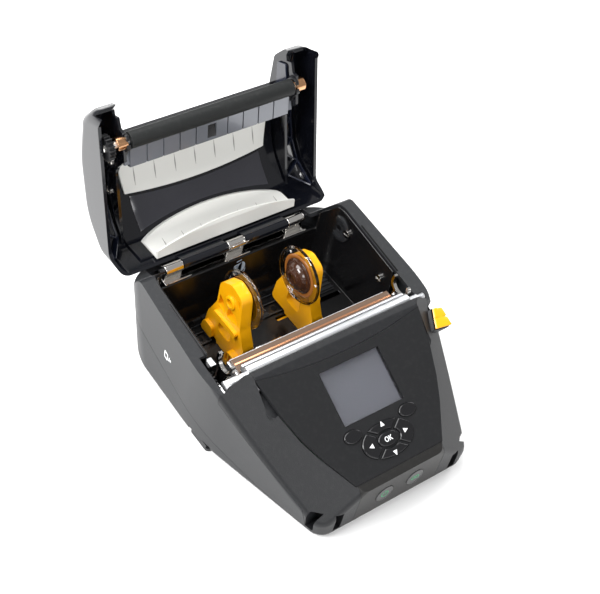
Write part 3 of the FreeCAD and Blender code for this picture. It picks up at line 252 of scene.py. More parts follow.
# Each look: base colour, roughness, and what it changes of the defaults.
LOOKS = {
    "casing": ((0.017, 0.018, 0.020), 0.42, dict(grain=(2400, 0.4), wear=0.12, dust=0.02, specular=0.35)),
    "bumper": ((0.010, 0.0105, 0.012), 0.44, dict(grain=(1900, 0.6), wear=0.12, dust=0.02, specular=0.35)),
    "panel": ((0.0095, 0.0098, 0.0108), 0.5, dict(grain=(3200, 0.25), wear=0.1, dust=0.012, specular=0.25)),
    "strip": ((0.014, 0.0135, 0.013), 0.42, dict(grain=(2600, 0.25), wear=0.15, dust=0.015, specular=0.3)),
    "lid_plastic": ((0.004, 0.0045, 0.007), 0.14, dict(grain=(1500, 0.06), wear=0.08, coat=0.35,
        specular=0.4)),
    "tray_plastic": ((0.0045, 0.0045, 0.005), 0.24, dict(grain=(1600, 0.1), wear=0.1, dust=0.015,
        specular=0.35)),
    "pad_plastic": ((0.72, 0.72, 0.69), 0.36, dict(grain=(2000, 0.08), shift=0.05)),
    # The grooves' grey is painted shade: the shade inside the engraved lines on the pale pads.
    "pad_groove_shade": ((0.30, 0.295, 0.28), 0.5, dict(grain=(2000, 0.08), shift=0.1)),
    "strip_plastic": ((0.42, 0.43, 0.44), 0.3, dict(grain=(2000, 0.1), shift=0.1)),
    "floor_plastic": ((0.018, 0.019, 0.021), 0.26, dict(grain=(2000, 0.15), wear=0.3, dust=0.03,
        specular=0.45)),
    "key_plastic": ((0.006, 0.006, 0.007), 0.24, dict(grain=(2600, 0.05), wear=0.12, coat=0.2,
        specular=0.4)),
    "window": ((0.78, 0.79, 0.82), 0.06, dict(grain=(2000, 0.0), transmission=1.0, shift=0.0)),
    "display": ((0.25, 0.25, 0.27), 0.3, dict(grain=(3000, 0.05), shift=0.05)),
    "amber_plastic": ((0.88, 0.40, 0.003), 0.28, dict(grain=(2200, 0.08), shift=0.18, coat=0.35)),
    "smoky_plastic": ((0.80, 0.74, 0.68), 0.04, dict(grain=(2000, 0.02), transmission=1.0, shift=0.12)),
    "hub_ring": ((0.34, 0.12, 0.025), 0.12, dict(grain=(2000, 0.03), coat=0.6, shift=0.4)),
    "hub_plastic": ((0.050, 0.020, 0.011), 0.10, dict(grain=(2000, 0.03), coat=0.7, shift=0.4)),
    "steel": ((0.80, 0.81, 0.83), 0.38, dict(metallic=1.0, brushed=0.25, shift=0.08)),
    "satin_bar": ((0.20, 0.21, 0.235), 0.16, dict(metallic=0.25, grain=(2200, 0.05), coat=0.4, shift=0.3)),
    "nickel": ((0.74, 0.72, 0.69), 0.14, dict(metallic=1.0, grain=(2600, 0.05), shift=0.1)),
    "pin_steel": ((0.06, 0.06, 0.065), 0.3, dict(metallic=1.0, grain=(2600, 0.1))),
    "brass": ((0.76, 0.42, 0.22), 0.2, dict(metallic=1.0, grain=(2600, 0.1), shift=0.2)),
    "copper": ((0.62, 0.30, 0.16), 0.25, dict(metallic=0.8, brushed=0.2, shift=0.2)),
    "platen_rubber": ((0.009, 0.010, 0.010), 0.55, dict(grain=(3200, 0.6), dust=0.02, specular=0.3)),
    "gear_plastic": ((0.008, 0.008, 0.009), 0.32, dict(grain=(2200, 0.2), wear=0.3)),
    "ceramic": ((0.12, 0.075, 0.05), 0.22, dict(grain=(2600, 0.03), coat=0.5)),
    "board": ((0.012, 0.09, 0.04), 0.35, dict(grain=(1200, 0.1))),
    "motor_case": ((0.35, 0.35, 0.37), 0.3, dict(metallic=1.0, brushed=0.2)),
    "battery_wrap": ((0.03, 0.03, 0.035), 0.4, dict(grain=(1600, 0.1))),
    "sensor": ((0.006, 0.006, 0.007), 0.1, dict(grain=(2600, 0.02), coat=0.6)),
    "print_white": ((0.86, 0.87, 0.88), 0.45, dict(grain=(2600, 0.05), shift=0.03)),
    "print_blue": ((0.36, 0.44, 0.53), 0.45, dict(grain=(2600, 0.05), shift=0.05)),
    # The green glyphs are print with a faint painted glow.
    "print_green_painted_glow": ((0.02, 0.32, 0.12), 0.4, dict(grain=(2600, 0.02), shift=0.05, glow=0.1)),
    "shadow_line": ((0.0015, 0.0015, 0.0015), 0.7, dict(grain=(2000, 0.1), specular=0.15)),
    "lid_grey": ((0.028, 0.028, 0.036), 0.2, dict(grain=(1500, 0.06), coat=0.3, shift=0.3)),
    "rib_plastic": ((0.010, 0.013, 0.026), 0.2, dict(grain=(1500, 0.05), coat=0.6, wear=0.2)),
}
MATERIALS = {name: material(name, colour, roughness, **more)
             for name, (colour, roughness, more) in LOOKS.items()}
print("materials:", len(MATERIALS))

# %% [markdown]
# The small details are flat plates, turned pieces and bent wires. They could be modelled by hand, but
# outlines in numbers keep their sizes exact. Every mesh is made in place, in metres, and rides on a body.

# %% Mesh builders


def add_mesh(name, build):
    """A mesh object made from a bmesh."""
    mesh = bpy.data.meshes.new(name)
    build.to_mesh(mesh)
    build.free()
    obj = bpy.data.objects.new(name, mesh)
    bpy.context.scene.collection.objects.link(obj)
    return obj


def smooth(obj, angle=32.0):
    """Smooth shading that stays sharp at real edges."""
    obj.data.shade_smooth()
    obj.data.set_sharp_from_angle(angle=math.radians(angle))
    return obj


def dress(obj, body, look, place=None):
    """Place a piece, give it its look and let it ride on its body."""
    if place is not None:
        obj.data.transform(place)
    obj.data.materials.clear()
    obj.data.materials.append(MATERIALS[look])
    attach(obj, body)
    return obj


def bevelled(build, width, steps=2, angle=28.0):
    """Round the sharp edges of a closed bmesh."""
    bmesh.ops.recalc_face_normals(build, faces=build.faces)
    sharp = [e for e in build.edges if len(e.link_faces) == 2 and e.calc_face_angle(0) > math.radians(angle)]
    if width and sharp:
        bmesh.ops.bevel(build, geom=sharp, offset=width * MM, segments=steps, profile=0.6,
                        affect="EDGES", clamp_overlap=True)
    return build


def slab(name, outline, axis, low, high, width=0.3, steps=2):
    """A prism of an outline in millimetres along X, Y or Z, with rounded edges."""
    order = {"X": lambda a, b, c: (c, a, b), "Y": lambda a, b, c: (a, c, b),
             "Z": lambda a, b, c: (a, b, c)}[axis]
    build = bmesh.new()
    ring = [build.verts.new(Vector(order(a, b, low)) * MM) for a, b in outline]
    face = build.faces.new(ring)
    made = bmesh.ops.extrude_face_region(build, geom=[face])
    lift = Vector(order(0, 0, high - low)) * MM
    bmesh.ops.translate(build, vec=lift, verts=[v for v in made["geom"] if isinstance(v, bmesh.types.BMVert)])
    return smooth(add_mesh(name, bevelled(build, width, steps)))


def block(name, low, high, width=0.3, steps=2):
    """A box between two corners in millimetres."""
    (x0, y0, z0), (x1, y1, z1) = low, high
    return slab(name, [(x0, y0), (x1, y0), (x1, y1), (x0, y1)], "Z", z0, z1, width, steps)


def lathe(name, profile, centre, direction, steps=72):
    """A turned body: profile of (radius, height) about a centre, along a direction."""
    turn = Vector(direction).normalized().to_track_quat("Z", "Y").to_matrix().to_4x4()
    place = Matrix.Translation(Vector(centre) * MM) @ turn
    build = bmesh.new()
    circle = arc((0, 0), 1, 1, steps)[:-1]
    rings = []
    for radius, height in profile:
        rings.append([build.verts.new(place @ Vector((radius * MM * a, radius * MM * b, height * MM)))
                      for a, b in (circle if radius > 0 else [(0, 0)])])
    hollow = len(rings[0]) > 1 and len(rings[-1]) > 1
    for lower, upper in zip(rings, rings[1:] + rings[:1] * hollow):
        for i in range(steps):
            j = (i + 1) % steps
            corners = [lower[i % len(lower)], lower[j % len(lower)],
                       upper[j % len(upper)], upper[i % len(upper)]]
            corners = [c for k, c in enumerate(corners) if c not in corners[:k]]
            if len(corners) > 2:
                build.faces.new(corners)
    bmesh.ops.recalc_face_normals(build, faces=build.faces)
    return smooth(add_mesh(name, build), 38)


def tube(name, points, radius, closed=False):
    """A round wire through points in millimetres."""
    curve = bpy.data.curves.new(name, "CURVE")
    curve.dimensions = "3D"
    curve.bevel_depth = radius * MM
    curve.bevel_resolution = 4
    curve.use_fill_caps = True
    line = curve.splines.new("POLY")
    line.points.add(len(points) - 1)
    for spot, point in zip(line.points, points):
        spot.co = (*(Vector(point) * MM), 1)
    line.use_cyclic_u = closed
    return to_mesh(bpy.data.objects.new(name, curve), name)


def to_mesh(source, name):
    """Evaluate an object into a plain mesh object and drop the source."""
    bpy.context.scene.collection.objects.link(source)
    bpy.context.view_layer.update()
    ready = source.evaluated_get(bpy.context.evaluated_depsgraph_get())
    mesh = bpy.data.meshes.new_from_object(ready)
    bpy.data.objects.remove(source)
    obj = bpy.data.objects.new(name, mesh)
    bpy.context.scene.collection.objects.link(obj)
    return smooth(obj)


def rounded(points, radius=2.0, steps=5):
    """A polyline with its inner corners turned as arcs; points are (a, b) or (a, b, c)."""
    spots = [Vector(p) for p in points]
    path = [spots[0]]
    for before, corner, after in zip(spots, spots[1:], spots[2:]):
        reach = min(radius, (before - corner).length / 2.01, (after - corner).length / 2.01)
        start = corner + (before - corner).normalized() * reach
        end = corner + (after - corner).normalized() * reach
        for i in range(steps + 1):
            t = i / steps
            path.append(start * (1 - t) ** 2 + corner * 2 * t * (1 - t) + end * t ** 2)
    return [tuple(p) for p in path + [spots[-1]]]


def loop(points, radius=2.0, steps=5):
    """A closed outline with rounded corners."""
    count = len(points)
    path = rounded([points[-1], *points, points[0]], radius, steps)[1:-1]
    return path[:count * (steps + 1)]


def arc(centre, half_a, half_b, steps, start=0.0, end=2 * math.pi):
    """Points along an ellipse, both ends included."""
    turns = [start + (end - start) * i / steps for i in range(steps + 1)]
    return [(centre[0] + half_a * math.cos(t), centre[1] + half_b * math.sin(t)) for t in turns]


print("builders ready")

# %% [markdown]
# The teeth, the ribs and the screws are one shape many times. A loop could copy each; one Geometry Nodes
# group does it for all, with points that carry a turn and a stretch, and the result becomes a plain mesh.

# %% Copies with Geometry Nodes


def copies_group():
    """Instances of an object on the points of a mesh."""
    group, start, end = new_group(
        "PlaceCopies", [("Points", "Geometry", None), ("Unit", "Object", None), ("Look", "Material", None)],
        [("Copies", "Geometry")], "GeometryNodeTree")
    unit = node(group, "GeometryNodeObjectInfo", transform_space="ORIGINAL")
    turn = node(group, "GeometryNodeInputNamedAttribute", {"Name": "turn"}, data_type="FLOAT_VECTOR")
    stretch = node(group, "GeometryNodeInputNamedAttribute", {"Name": "stretch"}, data_type="FLOAT_VECTOR")
    angles = node(group, "FunctionNodeEulerToRotation")
    place = node(group, "GeometryNodeInstanceOnPoints")
    real = node(group, "GeometryNodeRealizeInstances")
    look = node(group, "GeometryNodeSetMaterial")
    wires(group, (start, "Points", place, "Points"), (start, "Unit", unit, "Object"),
          (unit, "Geometry", place, "Instance"), (turn, "Attribute", angles, "Euler"),
          (angles, "Rotation", place, "Rotation"), (stretch, "Attribute", place, "Scale"),
          (place, "Instances", real, "Geometry"), (real, "Geometry", look, "Geometry"),
          (start, "Look", look, "Material"), (look, "Geometry", end, "Copies"))
    return group


COPIES = copies_group()
SOCKET = {item.name: item.identifier for item in COPIES.interface.items_tree if item.in_out == "INPUT"}


def copies(name, unit, spots, body, look, place=None):
    """Copies of a unit piece. Each spot is (position in mm, turn in radians, stretch)."""
    mesh = bpy.data.meshes.new(name + "_points")
    mesh.from_pydata([Vector(spot[0]) * MM for spot in spots], [], [])
    for label, index in (("turn", 1), ("stretch", 2)):
        layer = mesh.attributes.new(label, "FLOAT_VECTOR", "POINT")
        layer.data.foreach_set("vector", [value for spot in spots for value in spot[index]])
    points = bpy.data.objects.new(name + "_points", mesh)
    step = points.modifiers.new("Copies", "NODES")
    step.node_group = COPIES
    step[SOCKET["Unit"]] = unit
    step[SOCKET["Look"]] = MATERIALS[look]
    obj = to_mesh(points, name)
    for label in ("turn", "stretch"):
        if label in obj.data.attributes:
            obj.data.attributes.remove(obj.data.attributes[label])
    bpy.data.objects.remove(unit)
    return smooth(dress(obj, body, look, place))


def beam_spot(start, end, thick, tall):
    """Where a unit beam along X has to go to run between two points."""
    a, b = Vector(start), Vector(end)
    turn = (b - a).to_track_quat("X", "Z").to_euler()
    return (a + b) / 2, tuple(turn), ((b - a).length, thick, tall)


def unit_beam():
    """A beam one unit long, with softened edges, that is stretched to size."""
    return block("unit_beam", (-0.5, -0.5, -0.5), (0.5, 0.5, 0.5), 0.08, 1)


def screw_unit(radius=2.6, height=1.4):
    """A pan-head screw with a cross recess, its top facing up from the origin."""
    profile = [(0.0, 0.0), (radius, 0.0), (radius, height * 0.45), (radius * 0.86, height * 0.85),
               (radius * 0.5, height), (0.0, height)]
    head = lathe("head", profile[::-1], (0, 0, 0), (0, 0, 1), 40)
    reach, half, base = radius * 0.62, radius * 0.13, height * 0.45
    cross = [block("slot", (-a, -b, base), (a, b, 5), 0, 1) for a, b in ((reach, half), (half, reach))]
    return carve(head, cross, "screw")


def carve(target, tools, name):
    """Cut meshes out of another with the exact boolean solver."""
    for tool in tools:
        step = target.modifiers.new("Cut", "BOOLEAN")
        step.object = tool
        step.operation = "DIFFERENCE"
        step.solver = "EXACT"
    bpy.context.view_layer.update()
    ready = target.evaluated_get(bpy.context.evaluated_depsgraph_get())
    mesh = bpy.data.meshes.new_from_object(ready)
    for item in (target, *tools):
        bpy.data.objects.remove(item)
    obj = bpy.data.objects.new(name, mesh)
    bpy.context.scene.collection.objects.link(obj)
    return smooth(obj)


print("copies group ready")

# %% [markdown]
# Real mouldings have rounded edges that catch the light. The solids could carry every fillet, but a bevel
# on the mesh is quicker to tune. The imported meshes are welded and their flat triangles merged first, so
# that only real edges are rounded. Each finished copy takes its node's place.

# %% Rounded parts


def welded(name):
    """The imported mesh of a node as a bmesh, welded and with its flat triangles merged."""
    build = bmesh.new()
    build.from_mesh(NODES[name].data)
    bmesh.ops.remove_doubles(build, verts=build.verts, dist=0.00002)
    bmesh.ops.dissolve_limit(build, angle_limit=math.radians(0.05), verts=build.verts, edges=build.edges)
    return build


def round_edges(obj, width, steps=2, angle=30.0, even=True):
    """Round the sharp edges of a mesh object; even spreads the normals by face area."""
    step = obj.modifiers.new("Round", "BEVEL")
    step.width = width * MM
    step.segments = steps
    step.limit_method = "ANGLE"
    step.angle_limit = math.radians(angle)
    if even:
        step.miter_outer = "MITER_ARC"
        obj.modifiers.new("Even", "WEIGHTED_NORMAL").weight = 60
    else:
        step.harden_normals = True
    obj.data.shade_smooth()
    mesh = bpy.data.meshes.new_from_object(obj.evaluated_get(bpy.context.evaluated_depsgraph_get()))
    obj.modifiers.clear()
    obj.data = mesh


def polish(name, width, look=None, steps=2, angle=30.0):
    """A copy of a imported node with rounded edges, shown in its place."""
    source = NODES[name]
    build = welded(name)
    bmesh.ops.recalc_face_normals(build, faces=build.faces)
    obj = add_mesh(name + "_finish", build)
    if width:
        round_edges(obj, width, steps, angle)
    else:
        smooth(obj, angle)
    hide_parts(name)
    return dress(obj, source["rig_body"], look or SLOT_OF[name])


ROUNDING = {
    "lower_case": 0.5, "upper_case": 0.6, "bumper_left": 0.8, "bumper_right": 0.8, "trim_strip": 0.6,
    "control_strip": 0.8, "front_panel": 0.35, "floor_pads": 0.15, "wall_strip": 0.1, "media_guide_bar": 0.0,
    "case_screws": 0.12, "media_tray": 0.5, "printhead_bracket": 0.3,
    "heat_sink": 0.2, "hinge_bracket": 0.4, "lid_shell": 0.6, "lid_liner": 0.3, "liner_pad_upper": 0.5,
    "liner_pad_lower": 0.5, "lever_plates": 0.25, "platen_bushings": 0.3, "platen_gear": 0.15,
    "idler_gear": 0.12, "motor_pinion": 0.1,
    "centring_pinion": 0.12, "latch_hooks": 0.35, "port_cover": 0.6, "gear_plate": 0.2,
    "stepper_motor": 0.4, "battery_pack": 2.0, "battery_cover": 0.4, "belt_clip": 0.5, "port_sockets": 0.2,
    "main_board": 0.2, "display_module": 0.3, "keypad_board": 0.2, "printhead": 0.2, "gap_sensor": 0.3,
    "guide_sensor": 0.3, "platen_roller": 0.4, "platen_shaft": 0.25, "hinge_pin": 0.3, "head_springs": 0.2,
    "display_window": 0.25, "power_button": 0.5, "pairing_button": 0.5,
}
for part, width in ROUNDING.items():
    polish(part, width, {"media_guide_bar": "satin_bar", "lever_plates": "rib_plastic"}.get(part))
print("rounded parts:", len(ROUNDING))

# %% [markdown]
# Grooves, inlays and printed signs follow curved faces. They could be cut into them; a thin sheet that
# rays lay on the face looks the same and leaves the face whole.

# %% Draped pieces


def surface_of(name, place=None):
    """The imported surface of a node, for rays; place brings it to the closed lid's frame."""
    mesh = NODES[name].data
    spots = [place @ v.co if place else v.co for v in mesh.vertices]
    return BVHTree.FromPolygons(spots, [p.vertices for p in mesh.polygons])


def landing(tree, start, direction):
    """Where a ray in millimetres meets the surface."""
    spot = tree.ray_cast(Vector(start) * MM, Vector(direction).normalized())[0]
    return None if spot is None else spot / MM


def draped(name, rows, tree, direction, rise, sink=0.3, width=0.0):
    """A thin sheet over a surface: rows of start points are sent along a direction until they land."""
    way = Vector(direction).normalized()
    build = bmesh.new()
    layers = []
    for lift in (rise, -sink):
        layer = []
        for row in rows:
            found = [landing(tree, point, way) for point in row]
            layer.append([build.verts.new((spot - way * lift) * MM) if spot else None for spot in found])
        layers.append(layer)
    upper, lower = layers
    for i in range(len(rows) - 1):
        for j in range(len(rows[0]) - 1):
            for layer in layers:
                corners = [layer[i][j], layer[i + 1][j], layer[i + 1][j + 1], layer[i][j + 1]]
                if all(corners):
                    build.faces.new(corners)
    pairs = {a: b for ua, la in zip(upper, lower) for a, b in zip(ua, la) if a and b}
    for edge in [e for e in build.edges if len(e.link_faces) == 1]:
        a, b = edge.verts
        if a in pairs and b in pairs:
            build.faces.new([a, b, pairs[b], pairs[a]])
    bmesh.ops.delete(build, geom=[v for v in build.verts if not v.link_faces], context="VERTS")
    return smooth(add_mesh(name, bevelled(build, width, 2)))


def joined_piece(pieces, name):
    """Several meshes kept as one piece."""
    build = bmesh.new()
    for piece in pieces:
        build.from_mesh(piece.data)
        bpy.data.objects.remove(piece)
    return smooth(add_mesh(name, build))


INWARD = LID.inverted()
UP = (0, 0, 1)
print("draping ready")

# %% [markdown]
# Inside the lid are two pale grooved pads with a dark panel between them, a lattice of ribs in the side
# channels, a copper strip, the platen's bearing ears and cross-head screws. The grooves are thin grey sheets
# that paint the shade inside them. The sheets are draped, as the lid curves; the ribs run between points
# found on the shell, so that none of them floats.

# %% Lid details
upper_tree = surface_of("liner_pad_upper", INWARD)
lower_tree = surface_of("liner_pad_lower", INWARD)
liner_tree = surface_of("lid_liner", INWARD)
shell_tree = surface_of("lid_shell", INWARD)


def groove_shade_rows(x, start, end, lean, steps=8):
    """Start points below the lid for the painted shade of one groove; start and end are (y, z)."""
    rows = []
    for half in (-0.42, 0.42):
        rows.append([(x + half * math.sin(math.pi * min(max(t / steps, 0.08), 0.92)) + lean * t / steps,
                      start[0] + (end[0] - start[0]) * t / steps, start[1] + (end[1] - start[1]) * t / steps)
                     for t in range(steps + 1)])
    return rows


# Thin grey sheets that paint the shade inside the pads' engraved grooves.
groove_shades = []
for i in range(7):
    rows = groove_shade_rows(-42.5 + 14.1 * i, (26.5 - abs(i - 3) * 0.2, 45.0), (38.0, 45.0), 0.6)
    groove_shades.append(draped("groove", rows, upper_tree, UP, 0.05))
INTO = (0, 1, 0.35)
for i in range(7):
    rows = groove_shade_rows(-40.5 + 13.5 * i, (20, 36), (20, 52), 2.4)
    groove_shades.append(draped("groove", rows, lower_tree, INTO, 0.05))
dress(joined_piece(groove_shades, "pad_grooves"), "lid", "pad_groove_shade", LID)

panel_rows = []
for i in range(25):
    x = -46.5 + 93.0 * i / 24
    bow = 1 - (x / 49.0) ** 2
    panel_rows.append([(x, 43.4 + 3.6 * bow + (64.6 - 5.8 * bow - 43.4 - 3.6 * bow) * j / 14, 45.0)
                       for j in range(15)])
dress(draped("lid_panel", panel_rows, liner_tree, UP, 0.5, 0.2, 0.2), "lid", "lid_grey", LID)

rib_spots = []
for side in (-1, 1):
    spots = []
    for i in range(9):
        x = side * (62.0 if i % 2 else 71.4)
        y = 16.5 + 6.6 * i
        spot = landing(shell_tree, (x, y, 40), UP)
        if spot:
            spots.append(spot)
    for skip, drop, tall in ((1, 1.0, 3.4), (2, 0.8, 2.6)):
        down = Vector((0, 0, drop))
        rib_spots += [beam_spot(a - down, b - down, 0.9, tall) for a, b in zip(spots, spots[skip:])]
copies("lid_ribs", unit_beam(), rib_spots, "lid", "rib_plastic", LID)

contact = [[(x, y, 45.0) for y in (16.2, 17.4)] for x in [-12 + 2.7 * i for i in range(11)]]
dress(draped("contact_strip", contact, upper_tree, UP, 0.35), "lid", "copper", LID)

screw_spots = [((side * 60.5, y, z), (0, side * math.pi / 2, 0), (1, 1, 1))
               for side in (-1, 1) for y, z in ARM_SCREWS]
heads = copies("lid_screw_heads", screw_unit(2.6, 1.35), screw_spots, "lid", "nickel", LID)
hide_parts("lid_screws")


def bearing_ear(side):
    """The black bearing block that holds one end of the platen."""
    outline = loop([(-7.2, 61.5), (-6.2, 56.4), (2.2, 56.0), (4.6, 60.0), (8.2, 62.4), (8.6, 67.5),
                    (-3.4, 68.4)], 1.6)
    ear = slab("bearing_ear", outline, "X", side * 57.0, side * 59.4, 0.4)
    bore = lathe("bore", [(0, 0), (4.3, 0), (4.3, 6), (0, 6)], (side * 60.5, *PLATEN), (-side, 0, 0), 40)
    return carve(ear, [bore], "bearing_ear_" + SIDES[side])


for side in (-1, 1):
    dress(bearing_ear(side), "lid", "gear_plastic", LID)

gear_cap = lathe("gear_screw", [(0, 0), (2.4, 0), (2.4, 0.7), (1.9, 1.1), (0.9, 1.2), (0.7, 0.7), (0, 0.7)],
                 (-71.6, *PLATEN), (-1, 0, 0), 32)
dress(gear_cap, "platen", "nickel", LID)
print("lid details:", len(groove_shades), "grooves,", len(rib_spots), "ribs")

# %% [markdown]
# A disc on each guide holds the roll: a clear flange with a rounded bead, an amber ring and a stepped dark
# hub. Circles could be extruded and joined; one turned profile each gives clean, round rims.

# %% Guide discs


def disc(side):
    """The pieces of one disc, turned about its own axis."""
    name = SIDES[side]
    body = "disc_" + name
    centre, way = (side * DISC_FACE, *DISC), (-side, 0, 0)
    flange = [(3.1, 0.1), (17.2, 0.1), (18.2, 0.0), (18.5, 0.5), (18.4, 1.4), (17.9, 1.9), (17.3, 1.6),
              (16.9, 0.9), (11.0, 0.9), (3.1, 0.9)]
    plate = dress(lathe("flange_" + name, flange, centre, way, 96), body, "smoky_plastic")
    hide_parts("guide_disc_" + name)
    ring = [(11.2, 0.9), (13.6, 0.9), (13.8, 1.3), (13.2, 1.7), (11.8, 1.7), (11.2, 1.3)]
    dress(lathe("ring_" + name, ring, centre, way, 80), body, "hub_ring")
    hub = [(3.15, 0.9), (11.2, 0.9), (11.2, 1.9), (10.4, 2.7), (9.0, 3.0), (8.6, 3.6), (8.2, 4.6), (7.2, 5.4),
           (5.6, 5.9), (5.0, 6.6), (4.2, 7.1), (3.4, 7.15), (3.15, 6.6)]
    dress(lathe("hub_" + name, hub, centre, way, 80), body, "hub_plastic")
    mark = slab("mark", [(-0.9, -0.7), (0.9, -0.7), (0, 0.9)], "Z", 0, 0.2, 0)
    spots = []
    for turn in (40, 160, 280):
        a = math.radians(turn)
        spots.append(((side * 20.1, DISC[0] + 15.3 * math.cos(a), DISC[1] + 15.3 * math.sin(a)),
                      (0, math.pi / 2, 0), (1, 1, 1)))
    copies("marks_" + name, mark, spots, body, "print_white")


disc(1)
disc(-1)
print("discs ready")

# %% [markdown]
# The pad has arrows and a word, and the two front buttons have glyphs. They could be painted; thin
# outlines stay sharp from close by and move with their keys.

# %% Key marks
NORMAL = (PANEL.to_3x3() @ Vector((0, 0, 1))).normalized()
for part in ("key_soft_left", "key_soft_right", "key_up", "key_enter", "key_left", "key_right", "key_down"):
    polish(part, 0.45, steps=3, angle=25)


def panel_spot(u, v, w):
    """A point of the panel's own plane, in millimetres."""
    return PANEL @ (Vector((u, v, w)) * MM) / MM


def marked(name, key, outlines):
    """Flat marks on a key's face; outlines are in the panel's plane."""
    tree = surface_of(key)
    pieces = []
    for outline in outlines:
        centre = Vector((sum(p[0] for p in outline), sum(p[1] for p in outline))) / len(outline)
        spot = landing(tree, panel_spot(centre.x, centre.y, 20), -NORMAL)
        height = (PANEL.inverted() @ (spot * MM)).z / MM
        piece = slab("mark", outline, "Z", height - 0.15, height + 0.1, 0)
        piece.data.transform(PANEL)
        pieces.append(piece)
    return dress(joined_piece(pieces, name), key, "print_white")


def arrow(centre, turn, size=1.75):
    """A triangle that points along turn."""
    return [(centre[0] + size * math.cos(turn + a), centre[1] + size * math.sin(turn + a))
            for a in (0, 2.25, -2.25)]


ARROWS = (("up", (0, PAD_V + 8.5), math.pi / 2), ("down", (0, PAD_V - 8.5), -math.pi / 2),
          ("left", (-12.0, PAD_V), math.pi), ("right", (12.0, PAD_V), 0))
for part, spot, turn in ARROWS:
    marked("mark_" + part, "key_" + part, [arrow(spot, turn)])


def stroke(a, b, width=0.42):
    """A straight stroke as a thin outline."""
    start, end = Vector(a), Vector(b)
    across = (end - start).normalized().orthogonal() * width / 2
    return [tuple(start + across), tuple(start - across), tuple(end - across), tuple(end + across)]


def ring_strokes(centre, half_a, half_b, steps=16, start=0.0, end=2 * math.pi, width=0.42):
    """A ring or an arc made of short strokes."""
    spots = arc(centre, half_a, half_b, steps, start, end)
    return [stroke(a, b, width) for a, b in zip(spots, spots[1:])]


letters = ring_strokes((-1.45, PAD_V), 1.05, 1.3)
letters += [stroke((0.45, PAD_V - 1.4), (0.45, PAD_V + 1.4)), stroke((0.5, PAD_V), (2.1, PAD_V + 1.4)),
            stroke((0.9, PAD_V + 0.35), (2.2, PAD_V - 1.4))]
marked("mark_enter", "key_enter", letters)

power = ring_strokes((0, 0), 2.3, 2.3, 20, math.radians(125), math.radians(415), 0.5)
power.append(stroke((0, 0.6), (0, 3.0), 0.5))
link = ring_strokes((-1.3, 0), 1.3, 1.3, 14, width=0.45) + ring_strokes((1.3, 0), 1.3, 1.3, 14, width=0.45)
# The green glyphs on the front buttons also carry a faint painted glow.
for (name, x, z), outlines in zip(FRONT_BUTTONS, (power, link)):
    pieces = [slab("mark", [(a + x, b + z) for a, b in outline], "Y", BUTTON_FACE - 0.26, BUTTON_FACE, 0)
              for outline in outlines]
    dress(joined_piece(pieces, "mark_" + name), name + "_button", "print_green_painted_glow")
for name, x, z in FRONT_BUTTONS:
    dress(lathe("rim_" + name, [(5.0, 0), (5.9, 0), (5.9, 0.3), (5.6, 0.5), (5.1, 0.5), (5.0, 0.3)],
                (x, -92.85, z), (0, -1, 0), 64), name + "_button", "key_plastic")
print("key marks ready")

# %% [markdown]
# Labels are torn on a fine serrated edge behind a smooth satin bar with end caps, and the head glints
# like copper below; a thin copper strip paints that glint. A saw outline could be extruded; copies of one
# tooth are easier to change.

# %% Tear bar and head
bar_outline = loop([(-16.0, 57.6), (-16.0, 63.4), (-14.4, 65.0), (-10.9, 65.0), (-10.0, 63.2),
                    (-10.2, 57.6)], 1.4)
bar = dress(slab("bar_front", bar_outline, "X", -57.2, 57.2, 0.25), "base", "steel")
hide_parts("tear_bar")
dress(slab("edge_strip", [(-9.4, 58.5), (-9.4, 63.1), (-7.9, 63.1), (-7.7, 58.5)], "X", -57.0, 57.0, 0.15),
      "base", "steel")
tooth = slab("tooth", [(-0.36, 0.0), (0.36, 0.0), (0.0, 0.75)], "Y", -0.55, 0.55, 0)
tooth_spots = [((i * 0.95, -8.6, 63.0), (0, 0, 0), (1, 1, 1)) for i in range(-59, 60)]
copies("teeth", tooth, tooth_spots, "base", "steel")
cap = loop([(-15.7, 56.5), (-15.7, 59.7), (-14.8, 60.8), (-11.2, 60.8), (-10.4, 59.6), (-10.4, 56.5)], 1.0)
for name, inner, outer in (("left", -57.3, -71.0), ("right", 57.3, 66.0)):
    dress(slab("cap_" + name, cap, "X", inner, outer, 0.5), "base", "steel")
ridges = [(0.0, 0.0)]
for i in range(4):
    start = i * 1.15
    ridges += [(1.7, start + 0.05), (1.7, start + 0.75), (1.35, start + 0.85), (1.35, start + 1.1)]
ridges.append((0.0, 4.7))
dress(lathe("cap_ridges", ridges, (66.1, -13.0, 59.0), (1, 0, 0), 32), "base", "steel")
# A thin copper strip below the bar: a painted glint of the head.
dress(block("head_line", (-55.5, -2.2, 55.1), (55.5, -1.0, 55.35), 0.05), "base", "copper")
print("tear bar ready")

# %% [markdown]
# The lid is freed by a chunky two-part yellow button in a dark surround on the right shoulder. It leans
# two ways, so a box would need careful turning; here it lies between lifted copies of its face.

# %% Release button
PRESS = Vector((0.80, -0.25, 0.55)).normalized()
FACE = [Vector(p) for p in ((69.7, -23.8, 58.9), (75.8, -24.2, 56.9), (75.9, -35.5, 53.3),
                            (65.5, -34.1, 53.8))]


def wedge(name, scale, high, low, width, corners=None):
    """A block between two lifted copies of the button's face."""
    spots = corners or FACE
    middle = sum(spots, Vector()) / 4
    build = bmesh.new()
    rings = [[build.verts.new((middle + (p - middle) * scale + PRESS * lift) * MM) for p in spots]
             for lift in (high, low)]
    build.faces.new(rings[0])
    build.faces.new(rings[1][::-1])
    for i in range(4):
        j = (i + 1) % 4
        build.faces.new([rings[0][i], rings[1][i], rings[1][j], rings[0][j]])
    return smooth(add_mesh(name, bevelled(build, width, 3, 20)))


